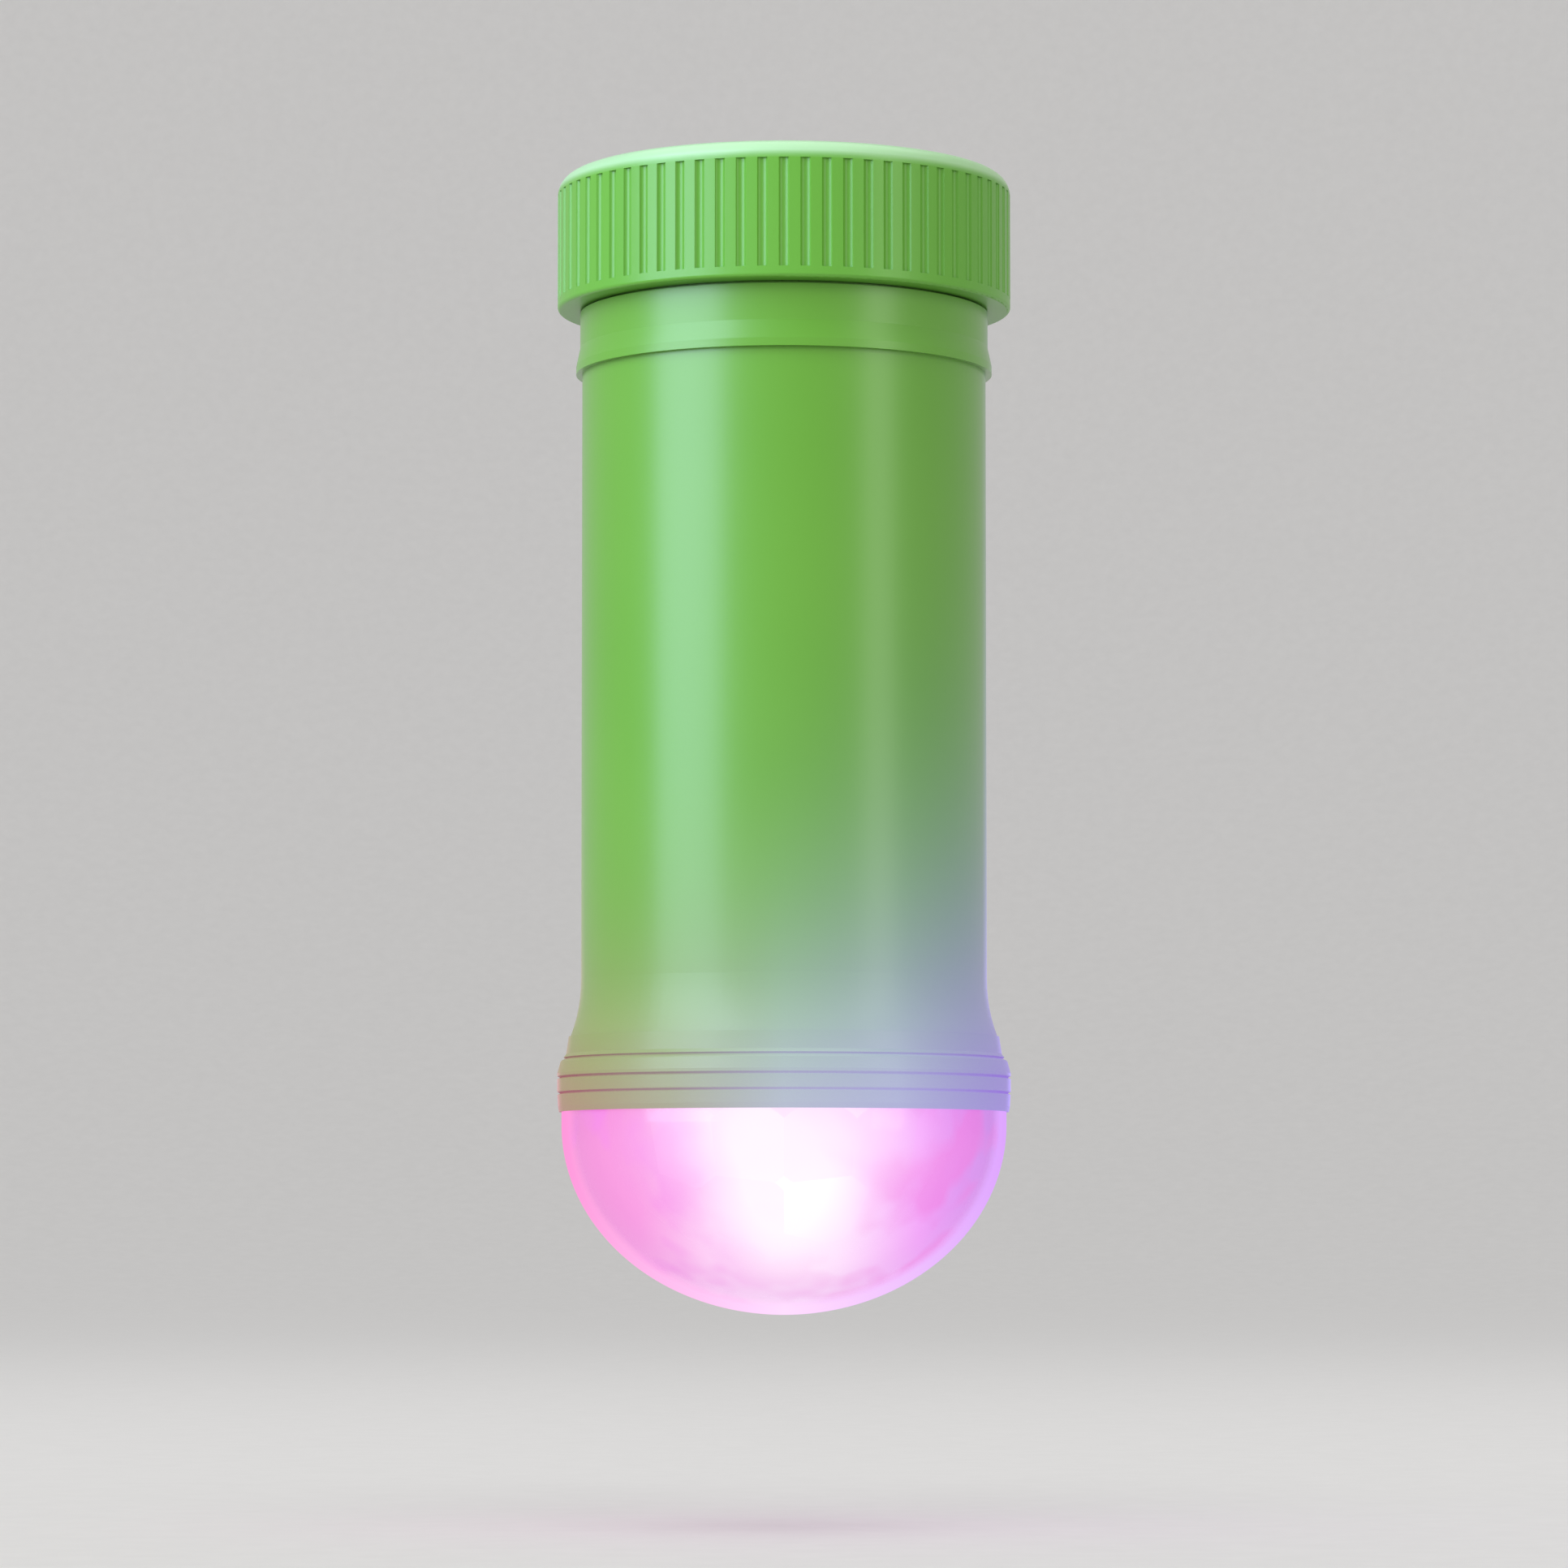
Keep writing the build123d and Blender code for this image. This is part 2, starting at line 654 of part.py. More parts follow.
with BuildPart() as switch_board:
    pillars(MIDDLE, HOLDER_BORE_R - BUTTON_PLAY, SWITCH_BOARD_FOOT, SWITCH_BOARD_TOP)
switch_board.part.label = "switch_board"
export_step(switch_board.part, "parts/switch_board.step")

with BuildPart() as switch_holder:
    turned(
        (HOLDER_BORE_R, CAP_CEILING),
        (HOLDER_R, CAP_CEILING),
        (HOLDER_R, HOLDER_FOOT),
        (HOLDER_LIP_R, HOLDER_FOOT),
        (HOLDER_LIP_R, DISC_FOOT - DISC_PLAY),
        (HOLDER_BORE_R, DISC_FOOT - DISC_PLAY),
        (HOLDER_BORE_R, HOLDER_LEDGE_FOOT),
        (HOLDER_LEDGE_R, HOLDER_LEDGE_FOOT),
        (HOLDER_LEDGE_R, SWITCH_BOARD_FOOT),
        (HOLDER_BORE_R, SWITCH_BOARD_FOOT),
    )
switch_holder.part.label = "switch_holder"
export_step(switch_holder.part, "parts/switch_holder.step")

# The disc under the switch rises with the cap but is kept from turning by the contact finger
with BuildPart() as contact_disc:
    pillars(MIDDLE, DISC_R, DISC_FOOT, DISC_TOP)
contact_disc.part.label = "contact_disc"
export_step(contact_disc.part, "parts/contact_disc.step")

with BuildPart() as ring_contact:
    turned(
        (RING_CONTACT_BORE_R, DISC_FOOT - SHEET),
        (RING_CONTACT_R, DISC_FOOT - SHEET),
        (RING_CONTACT_R, DISC_FOOT),
        (RING_CONTACT_BORE_R, DISC_FOOT),
    )
ring_contact.part.label = "ring_contact"
export_step(ring_contact.part, "parts/ring_contact.step")

with BuildPart() as centre_contact:
    turned(
        (0, CARRIER_TOP),
        (CENTRE_CONTACT_TIP_R, CARRIER_TOP),
        (CENTRE_CONTACT_R, DISC_FOOT - CENTRE_CONTACT_RIM),
        (CENTRE_CONTACT_R, DISC_FOOT),
        (0, DISC_FOOT),
    )
centre_contact.part.label = "centre_contact"
export_step(centre_contact.part, "parts/centre_contact.step")

# Faceted lens and its spindle

with BuildPart() as lens_rotor:
    with BuildSketch(UPRIGHT):
        with BuildLine():
            EllipticalCenterArc((0, LENS_CENTRE), LENS_R, LENS_DEPTH, start_angle=270, arc_size=90)
            Polyline(
                (LENS_R, LENS_CENTRE),
                (LENS_R, LENS_TOP),
                (0, LENS_TOP),
                (0, LENS_CENTRE - LENS_DEPTH),
            )
        make_face()
    revolve(axis=LIGHT_AXIS)
    # Flat facets: one at the tip and three rings of them, each cut square to its own direction
    lens_middle = Vector(0, -STANDOFF, LENS_CENTRE - BAR_LEVEL)
    facet_ways = [(0, Vector(0, 0, -1))]
    for tilt, count in FACET_RINGS:
        for n in range(count):
            turn = 360 * (n + 0.5) / count
            facet_ways.append((tilt, Vector(0, 0, -1).rotate(Axis.Y, -tilt).rotate(Axis.Z, turn)))
    for tilt, way in facet_ways:
        reach = hypot(LENS_R * sin(radians(tilt)), LENS_DEPTH * cos(radians(tilt)))
        facet = Plane(origin=lens_middle + way * (reach - FACET_CUT), z_dir=way)
        split(bisect_by=facet, keep=Keep.BOTTOM)
    with BuildSketch(UPRIGHT):
        with BuildLine():
            EllipticalCenterArc(
                (0, LENS_CENTRE), LENS_BORE_R, LENS_BORE_DEPTH, start_angle=270, arc_size=90
            )
            Polyline(
                (LENS_BORE_R, LENS_CENTRE),
                (LENS_BORE_R, LENS_TOP),
                (0, LENS_TOP),
                (0, LENS_CENTRE - LENS_BORE_DEPTH),
            )
        make_face()
    revolve(axis=LIGHT_AXIS, mode=Mode.SUBTRACT)
    # Boss that stands on the inside of the tip and grips the spindle
    pillars(MIDDLE, LENS_BOSS_R, LENS_CENTRE - LENS_BORE_DEPTH - LENS_BOSS_ROOT, LENS_BOSS_TOP)
    pillars(MIDDLE, SPINDLE_R, SPINDLE_FOOT, LENS_BOSS_TOP, mode=Mode.SUBTRACT)
lens_rotor.part.label = "lens_rotor"
export_step(lens_rotor.part, "parts/lens_rotor.step")

with BuildPart() as rotor_spindle:
    pillars(MIDDLE, SPINDLE_R, SPINDLE_FOOT, SPINDLE_TOP)
rotor_spindle.part.label = "rotor_spindle"
export_step(rotor_spindle.part, "parts/rotor_spindle.step")

# Light source

with BuildPart() as reflector:
    pillars(MIDDLE, REFLECTOR_R, REFLECTOR_FOOT, BOARD_FOOT)
    pillars(MIDDLE, HUB_HOLE_R, REFLECTOR_FOOT, BOARD_FOOT, mode=Mode.SUBTRACT)
    pillars(SCREW_SPOTS, SCREW_HOLE_R, REFLECTOR_FOOT, BOARD_FOOT, mode=Mode.SUBTRACT)
    # A shallow cone round each lamp
    for spot in LED_SPOTS:
        with BuildSketch(level(REFLECTOR_FOOT)):
            with Locations(spot):
                Circle(CONE_MOUTH_R)
        with BuildSketch(level(BOARD_FOOT)):
            with Locations(spot):
                Circle(CONE_ROOT_R)
        loft(mode=Mode.SUBTRACT)
reflector.part.label = "reflector"
export_step(reflector.part, "parts/reflector.step")

with BuildPart() as led_board:
    pillars(MIDDLE, BOARD_R, BOARD_FOOT, BOARD_TOP)
    pillars(MIDDLE, HUB_HOLE_R, BOARD_FOOT, BOARD_TOP, mode=Mode.SUBTRACT)
    pillars(SCREW_SPOTS, SCREW_HOLE_R, BOARD_FOOT, BOARD_TOP, mode=Mode.SUBTRACT)
led_board.part.label = "led_board"
export_step(led_board.part, "parts/led_board.step")

for colour, spot in zip(("red", "green", "blue"), LED_SPOTS):
    lamp_name = f"led_{colour}"
    with BuildPart() as led:
        pillars([spot], LED_R + LED_RIM, BOARD_FOOT - LED_RIM_THICK, BOARD_FOOT)
        pillars([spot], LED_R, LED_TIP, BOARD_FOOT)
        fillet(led.edges().sort_by(Axis.Z)[0], radius=LED_TIP_R)
    led.part.label = lamp_name
    export_step(led.part, f"parts/{lamp_name}.step")

with BuildPart() as lamp_screws:
    pillars(SCREW_SPOTS, LAMP_HEAD_R, REFLECTOR_FOOT - LAMP_HEAD, REFLECTOR_FOOT)
    fillet(lamp_screws.edges().group_by(Axis.Z)[0], radius=SMALL_HEAD_EDGE_R)
    pillars(SCREW_SPOTS, DRIVE_SCREW_R, REFLECTOR_FOOT, DRIVE_SCREW_TOP)
lamp_screws.part.label = "lamp_screws"
export_step(lamp_screws.part, "parts/lamp_screws.step")

# Gear train between the motor and the lens


def involute(angle):
    """The involute function of an angle in radians."""
    return tan(angle) - angle


def gear_outline(teeth, shift, centre_y, first_tooth):
    """Draw a spur gear: involute flanks as arcs through three of their points, on radial roots."""
    pitch_r = MODULE * teeth / 2
    base_r = pitch_r * cos(PRESSURE)
    tip_r = pitch_r + MODULE * (TOOTH_OVER_PITCH + shift)
    root_r = pitch_r - MODULE * (TOOTH_UNDER_PITCH - shift)
    pitch_half = (MODULE * (pi / 2 + 2 * shift * tan(PRESSURE)) - PLAY) / (2 * pitch_r)
    flank_radii = (base_r, (base_r + tip_r) / 2, tip_r)

    def spot(radius, angle):
        return (radius * cos(angle), centre_y + radius * sin(angle))

    def half(radius):
        return pitch_half + involute(PRESSURE) - involute(acos(base_r / radius))

    for tooth in range(teeth):
        middle = radians(first_tooth) + 2 * pi * tooth / teeth
        rising = [spot(radius, middle - half(radius)) for radius in flank_radii]
        falling = [spot(radius, middle + half(radius)) for radius in reversed(flank_radii)]
        root_end = spot(root_r, middle + half(base_r))
        next_root = spot(root_r, middle + 2 * pi / teeth - half(base_r))
        Line(spot(root_r, middle - half(base_r)), rising[0])
        ThreePointArc(*rising)
        Line(rising[-1], falling[0])
        ThreePointArc(*falling)
        Line(falling[-1], root_end)
        Line(root_end, next_root)


def toothed(teeth, shift, centre_y, first_tooth, low, high):
    """A toothed disc between two heights, its centre on the line from the light's axis to the bar."""
    with BuildSketch(level(low)) as section:
        with BuildLine():
            gear_outline(teeth, shift, centre_y, first_tooth)
        make_face()
    extrude(section.sketch, amount=high - low)


with BuildPart() as output_gear:
    toothed(OUTPUT_TEETH, -SHIFT, 0, 90, OUTPUT_FOOT, OUTPUT_TOP)
    # Thinned web between hub and teeth on both faces
    (web_in, web_out), web_deep = OUTPUT_WEB
    for low, high in ((OUTPUT_FOOT, OUTPUT_FOOT + web_deep), (OUTPUT_TOP - web_deep, OUTPUT_TOP)):
        turned((web_in, low), (web_out, low), (web_out, high), (web_in, high), mode=Mode.SUBTRACT)
    pillars(MIDDLE, SPINDLE_R, OUTPUT_FOOT, OUTPUT_TOP, mode=Mode.SUBTRACT)
output_gear.part.label = "output_gear"
export_step(output_gear.part, "parts/output_gear.step")

with BuildPart() as compound_gear:
    toothed(PINION_TEETH, SHIFT, PINION_TO_OUTPUT, 270 + HALF_TOOTH, OUTPUT_FOOT, WHEEL_FOOT)
    toothed(WHEEL_TEETH, -SHIFT, PINION_TO_OUTPUT, 270, WHEEL_FOOT, WHEEL_TOP)
    (web_in, web_out), web_deep = WHEEL_WEB
    with BuildSketch(level(WHEEL_TOP)):
        with Locations(COMPOUND):
            Circle(web_out)
            Circle(web_in, mode=Mode.SUBTRACT)
    extrude(amount=-web_deep, mode=Mode.SUBTRACT)
    pillars([COMPOUND], AXLE_R + RUNNING_FIT, OUTPUT_FOOT, WHEEL_TOP, mode=Mode.SUBTRACT)
compound_gear.part.label = "compound_gear"
export_step(compound_gear.part, "parts/compound_gear.step")

with BuildPart() as gear_axle:
    pillars([COMPOUND], AXLE_R, GEAR_PLATE_FOOT, MOTOR_PLATE_TOP)
gear_axle.part.label = "gear_axle"
export_step(gear_axle.part, "parts/gear_axle.step")

with BuildPart() as motor_pinion:
    toothed(PINION_TEETH, SHIFT, MOTOR_Y, 90 + HALF_TOOTH, MOTOR_PINION_FOOT, MOTOR_PINION_TOP)
    pillars([MOTOR_SPOT], MOTOR_SHAFT_R, MOTOR_PINION_FOOT, MOTOR_PINION_TOP, mode=Mode.SUBTRACT)
motor_pinion.part.label = "motor_pinion"
export_step(motor_pinion.part, "parts/motor_pinion.step")

with BuildPart() as motor_shaft:
    pillars([MOTOR_SPOT], MOTOR_SHAFT_R, MOTOR_PINION_FOOT + SHAFT_INSET, MOTOR_SHAFT_TOP)
motor_shaft.part.label = "motor_shaft"
export_step(motor_shaft.part, "parts/motor_shaft.step")

with BuildPart() as motor_can:
    with BuildSketch(level(MOTOR_PLATE_TOP)):
        with Locations(MOTOR_SPOT):
            Circle(MOTOR_R)
            Rectangle(2 * MOTOR_R, MOTOR_FLATS, mode=Mode.INTERSECT)
    extrude(amount=MOTOR_TOP - MOTOR_PLATE_TOP)
    fillet(motor_can.edges().group_by(Axis.Z)[-1], radius=MOTOR_EDGE_R)
    nose_foot = MOTOR_PLATE_TOP - MOTOR_NOSE
    pillars([MOTOR_SPOT], MOTOR_NOSE_R, nose_foot, MOTOR_PLATE_TOP)
    pillars([MOTOR_SPOT], MOTOR_SHAFT_R + RUNNING_FIT, nose_foot, MOTOR_TOP, mode=Mode.SUBTRACT)
    pillars(MOTOR_SCREW_SPOTS, MOTOR_SCREW_R, MOTOR_PLATE_TOP, MOTOR_SCREW_TOP, mode=Mode.SUBTRACT)
motor_can.part.label = "motor_can"
export_step(motor_can.part, "parts/motor_can.step")

with BuildPart() as motor_end_bell:
    with BuildSketch(level(MOTOR_TOP)):
        with Locations(MOTOR_SPOT):
            Circle(MOTOR_R - BELL_INSET)
            Rectangle(2 * MOTOR_R, MOTOR_FLATS - 2 * BELL_INSET, mode=Mode.INTERSECT)
    extrude(amount=BELL_TOP - MOTOR_TOP)
    pillars([MOTOR_SPOT], BELL_BOSS_R, BELL_TOP, BELL_BOSS_TOP)
    bore_top = MOTOR_SHAFT_TOP + RUNNING_FIT
    pillars([MOTOR_SPOT], MOTOR_SHAFT_R + RUNNING_FIT, MOTOR_TOP, bore_top, mode=Mode.SUBTRACT)
motor_end_bell.part.label = "motor_end_bell"
export_step(motor_end_bell.part, "parts/motor_end_bell.step")

with BuildPart() as motor_terminals:
    terminal_thick, terminal_wide, terminal_high = TERMINAL
    with BuildSketch(level(BELL_TOP)):
        with Locations((-TERMINAL_REACH, MOTOR_Y), (TERMINAL_REACH, MOTOR_Y)):
            Rectangle(terminal_thick, terminal_wide)
    extrude(amount=terminal_high)
motor_terminals.part.label = "motor_terminals"
export_step(motor_terminals.part, "parts/motor_terminals.step")

with BuildPart() as motor_screws:
    pillars(MOTOR_SCREW_SPOTS, MOTOR_HEAD_R, MOTOR_PLATE_FOOT - MOTOR_HEAD, MOTOR_PLATE_FOOT)
    pillars(MOTOR_SCREW_SPOTS, MOTOR_SCREW_R, MOTOR_PLATE_FOOT, MOTOR_SCREW_TOP)
motor_screws.part.label = "motor_screws"
export_step(motor_screws.part, "parts/motor_screws.step")

with BuildPart() as gear_plate:
    pillars(MIDDLE, DRIVE_PLATE_R, GEAR_PLATE_FOOT, GEAR_PLATE_TOP)
    pillars(SCREW_SPOTS, FOOT_R, BOARD_TOP, GEAR_PLATE_FOOT)
    pillars(MIDDLE, BEARING_R, BOARD_TOP + BEARING_GAP, GEAR_PLATE_FOOT)
    pillars(POST_SPOTS, POST_R, GEAR_PLATE_TOP, MOTOR_PLATE_FOOT)
    pillars(SCREW_SPOTS, SCREW_HOLE_R, BOARD_TOP, GEAR_PLATE_TOP, mode=Mode.SUBTRACT)
    pillars(MIDDLE, SPINDLE_R + RUNNING_FIT, BOARD_TOP, GEAR_PLATE_TOP, mode=Mode.SUBTRACT)
    pillars([COMPOUND], AXLE_R, GEAR_PLATE_FOOT, GEAR_PLATE_TOP, mode=Mode.SUBTRACT)
    post_hole_foot = PLATE_SCREW_TIP - BEARING_GAP
    pillars(POST_SPOTS, PLATE_SCREW_R, post_hole_foot, MOTOR_PLATE_FOOT, mode=Mode.SUBTRACT)
gear_plate.part.label = "gear_plate"
export_step(gear_plate.part, "parts/gear_plate.step")

with BuildPart() as motor_plate:
    pillars(MIDDLE, MOTOR_PLATE_R, MOTOR_PLATE_FOOT, MOTOR_PLATE_TOP)
    pillars(STAY_SPOTS, STAY_R, MOTOR_PLATE_TOP, BULKHEAD_FOOT)
    # Holes for the motor's nose and screws, the axle and the plate's own screws
    holes = (
        ([MOTOR_SPOT], MOTOR_NOSE_R + BEARING_GAP),
        (MOTOR_SCREW_SPOTS, MOTOR_SCREW_R + MOTOR_SCREW_PLAY),
        ([COMPOUND], AXLE_R),
        (POST_SPOTS, PLATE_SCREW_R + MOTOR_SCREW_PLAY),
    )
    for spots, radius in holes:
        pillars(spots, radius, MOTOR_PLATE_FOOT, MOTOR_PLATE_TOP, mode=Mode.SUBTRACT)
motor_plate.part.label = "motor_plate"
export_step(motor_plate.part, "parts/motor_plate.step")

with BuildPart() as plate_screws:
    pillars(POST_SPOTS, PLATE_HEAD_R, MOTOR_PLATE_TOP, MOTOR_PLATE_TOP + LAMP_HEAD)
    fillet(plate_screws.edges().group_by(Axis.Z)[-1], radius=SMALL_HEAD_EDGE_R)
    pillars(POST_SPOTS, PLATE_SCREW_R, PLATE_SCREW_TIP, MOTOR_PLATE_TOP)
plate_screws.part.label = "plate_screws"
export_step(plate_screws.part, "parts/plate_screws.step")

# Battery compartment

with BuildPart() as bulkhead:
    pillars(MIDDLE, DRIVE_PLATE_R, BULKHEAD_FOOT, BULKHEAD_TOP)
    pillars(MIDDLE, BULKHEAD_RIVET_R, BULKHEAD_FOOT, BULKHEAD_TOP, mode=Mode.SUBTRACT)
    with BuildSketch(level(BULKHEAD_FOOT)):
        with PolarLocations(STRIP_SLOT_R, 1, start_angle=STRIP_TURN):
            Rectangle(*STRIP_SLOT)
    extrude(amount=BULKHEAD_TOP - BULKHEAD_FOOT, mode=Mode.SUBTRACT)
bulkhead.part.label = "bulkhead"
export_step(bulkhead.part, "parts/bulkhead.step")

with BuildPart() as bulkhead_contact:
    turned(
        (0, BULKHEAD_FOOT - SHEET),
        (BULKHEAD_RIVET_R, BULKHEAD_FOOT - SHEET),
        (BULKHEAD_RIVET_R, BULKHEAD_TOP),
        (BULKHEAD_CONTACT_R, BULKHEAD_TOP),
        (BULKHEAD_CONTACT_R, BULKHEAD_TOP + SHEET),
        (BULKHEAD_CONTACT_TIP_R, CARRIER_FOOT),
        (0, CARRIER_FOOT),
    )
bulkhead_contact.part.label = "bulkhead_contact"
export_step(bulkhead_contact.part, "parts/bulkhead_contact.step")

with BuildPart() as contact_strip:
    bend = STRIP_TOP - SHEET
    with BuildSketch(level(STRIP_FOOT)):
        with PolarLocations(STRIP_RING_R, 1, start_angle=STRIP_TURN):
            Rectangle(SHEET, STRIP_WIDTH)
    extrude(amount=STRIP_TOP - STRIP_FOOT)
    with BuildSketch(level(bend)):
        with PolarLocations((STRIP_RING_R + FINGER_RING_R) / 2, 1, start_angle=STRIP_TURN):
            Rectangle(STRIP_RING_R - FINGER_RING_R + SHEET, STRIP_WIDTH)
    extrude(amount=SHEET)
    with BuildSketch(level(bend)):
        with PolarLocations(FINGER_RING_R, 1, start_angle=STRIP_TURN):
            Rectangle(SHEET, STRIP_WIDTH)
    extrude(amount=DISC_FOOT - SHEET - bend)
contact_strip.part.label = "contact_strip"
export_step(contact_strip.part, "parts/contact_strip.step")

with BuildPart() as carrier_frame:
    pillars(MIDDLE, CARRIER_R, CARRIER_FOOT, CARRIER_FOOT + CARRIER_DISC)
    pillars(MIDDLE, CARRIER_R, CARRIER_TOP - CARRIER_DISC, CARRIER_TOP)
    # Three wedges between the cells join the end discs
    with BuildSketch(level(CARRIER_FOOT + CARRIER_DISC)):
        with PolarLocations(0, 3, start_angle=150):
            Polygon(*CARRIER_WEDGE, align=None)
    extrude(amount=CARRIER_TOP - CARRIER_FOOT - 2 * CARRIER_DISC)
    pillars(MIDDLE, CARRIER_BUTTON_R, CARRIER_TOP - CARRIER_BUTTON, CARRIER_TOP, mode=Mode.SUBTRACT)
carrier_frame.part.label = "carrier_frame"
export_step(carrier_frame.part, "parts/carrier_frame.step")

with BuildPart() as carrier_contacts:
    pillars(CELL_SPOTS, CONTACT_R, CARRIER_FOOT + CARRIER_DISC, CELL_FOOT)
    pillars(CELL_SPOTS, CONTACT_R, CELL_FOOT + CELL_LENGTH, CARRIER_TOP - CARRIER_DISC)
    pillars(MIDDLE, CARRIER_BUTTON_R, CARRIER_TOP - CARRIER_BUTTON, CARRIER_TOP)
carrier_contacts.part.label = "carrier_contacts"
export_step(carrier_contacts.part, "parts/carrier_contacts.step")

for n, spot in enumerate(CELL_SPOTS, start=1):
    cell_name = f"battery_cell_{n}"
    # The middle cell of the chain stands on its nub
    upside_down = n == 2
    barrel_foot = CELL_FOOT + CELL_NUB if upside_down else CELL_FOOT
    barrel_top = barrel_foot + CELL_LENGTH - CELL_NUB
    nub_foot = CELL_FOOT if upside_down else barrel_top
    with BuildPart() as battery_cell:
        pillars([spot], CELL_R, barrel_foot, barrel_top)
        fillet(battery_cell.edges().filter_by(GeomType.CIRCLE), radius=CELL_EDGE_R)
        pillars([spot], CELL_NUB_R, nub_foot, nub_foot + CELL_NUB)
    battery_cell.part.label = cell_name
    export_step(battery_cell.part, f"parts/{cell_name}.step")

# Shoe on the back of the light, with the rail that slides into the bracket

with BuildPart() as mount_shoe:
    with BuildSketch(level(BAR_LEVEL + SHOE_FOOT)) as saddle:
        with Locations((0, (SHOE_FRONT + SHOE_BACK) / 2)):
            Rectangle(2 * SHOE_HALF_WIDTH, SHOE_BACK - SHOE_FRONT)
        fillet(saddle.vertices().group_by(Axis.Y)[-1], radius=SHOE_EDGE_R)
        Circle(TUBE_R, mode=Mode.SUBTRACT)
    extrude(amount=RAIL_TOP - SHOE_FOOT)
    for end in (0, -1):
        back_edges = mount_shoe.faces().sort_by(Axis.Z)[end].edges().filter_by(Axis.X)
        chamfer(back_edges.sort_by(Axis.Y)[-1], length=SHOE_CHAMFER)
    with BuildSketch(level(BAR_LEVEL + RAIL_FOOT)):
        with Locations((0, (SHOE_BACK + RAIL_HEAD_FRONT) / 2)):
            Rectangle(2 * RAIL_NECK_HALF, RAIL_HEAD_FRONT - SHOE_BACK)
        with Locations((0, (RAIL_HEAD_FRONT + RAIL_HEAD_BACK) / 2)):
            Rectangle(2 * RAIL_HEAD_HALF, RAIL_HEAD_BACK - RAIL_HEAD_FRONT)
    extrude(amount=RAIL_TOP - RAIL_FOOT)
    # Notch that the release tab's tooth drops into
    with BuildSketch(level(BAR_LEVEL + NOTCH_FOOT)):
        with Locations((0, RAIL_HEAD_BACK)):
            Rectangle(2 * TAB_SLOT_HALF, 2 * NOTCH_DEPTH)
    extrude(amount=NOTCH_TOP - NOTCH_FOOT, mode=Mode.SUBTRACT)
    with BuildSketch(across(SHOE_HOLE_END)):
        with Locations(*SHOE_SCREW_SPOTS):
            Circle(SHOE_SCREW_R)
    extrude(amount=SHOE_HOLE_END - SHOE_FRONT, mode=Mode.SUBTRACT)
mount_shoe.part.label = "mount_shoe"
export_step(mount_shoe.part, "parts/mount_shoe.step")

with BuildPart() as shoe_screws:
    with BuildSketch(across(SHOE_HEAD_SEAT)):
        with Locations(*SHOE_SCREW_SPOTS):
            Circle(SHOE_HEAD_R)
    extrude(amount=SHOE_HEAD)
    with BuildSketch(across(SHOE_SCREW_TIP)):
        with Locations(*SHOE_SCREW_SPOTS):
            Circle(SHOE_SCREW_R)
    extrude(amount=SHOE_SCREW_TIP - SHOE_HEAD_SEAT)
shoe_screws.part.label = "shoe_screws"
export_step(shoe_screws.part, "parts/shoe_screws.step")

# Bracket: the channel for the rail and the front half of the clamp in one moulding


def box_behind(half_width, front, back, foot, top, mode=Mode.ADD):
    """A block between two distances behind the light's axis and two heights Z, square to the bar."""
    with BuildSketch(level(BAR_LEVEL + foot)) as section:
        with Locations((0, (front + back) / 2)):
            Rectangle(2 * half_width, back - front)
    extrude(section.sketch, amount=top - foot, mode=mode)


def knuckle(x_low, x_high, radius, mode=Mode.ADD):
    """A round length about the hinge's axis, between two places along the bar."""
    with BuildSketch(Plane.YZ.offset(x_low)) as section:
        with Locations((0, HINGE_Z)):
            Circle(radius)
    extrude(section.sketch, amount=x_high - x_low, mode=mode)


def ear_hole(y_low, y_high, radius, mode=Mode.SUBTRACT):
    """A round length about the clamp screw's axis, between two places across the bar."""
    with BuildSketch(across(STANDOFF + y_high)) as section:
        with Locations((0, SCREW_Z)):
            Circle(radius)
    extrude(section.sketch, amount=y_high - y_low, mode=mode)


def corner_near(corners, *spot):
    """The corner of a section that lies nearest to a spot."""
    return corners.sort_by_distance(Vector(*spot))[0]


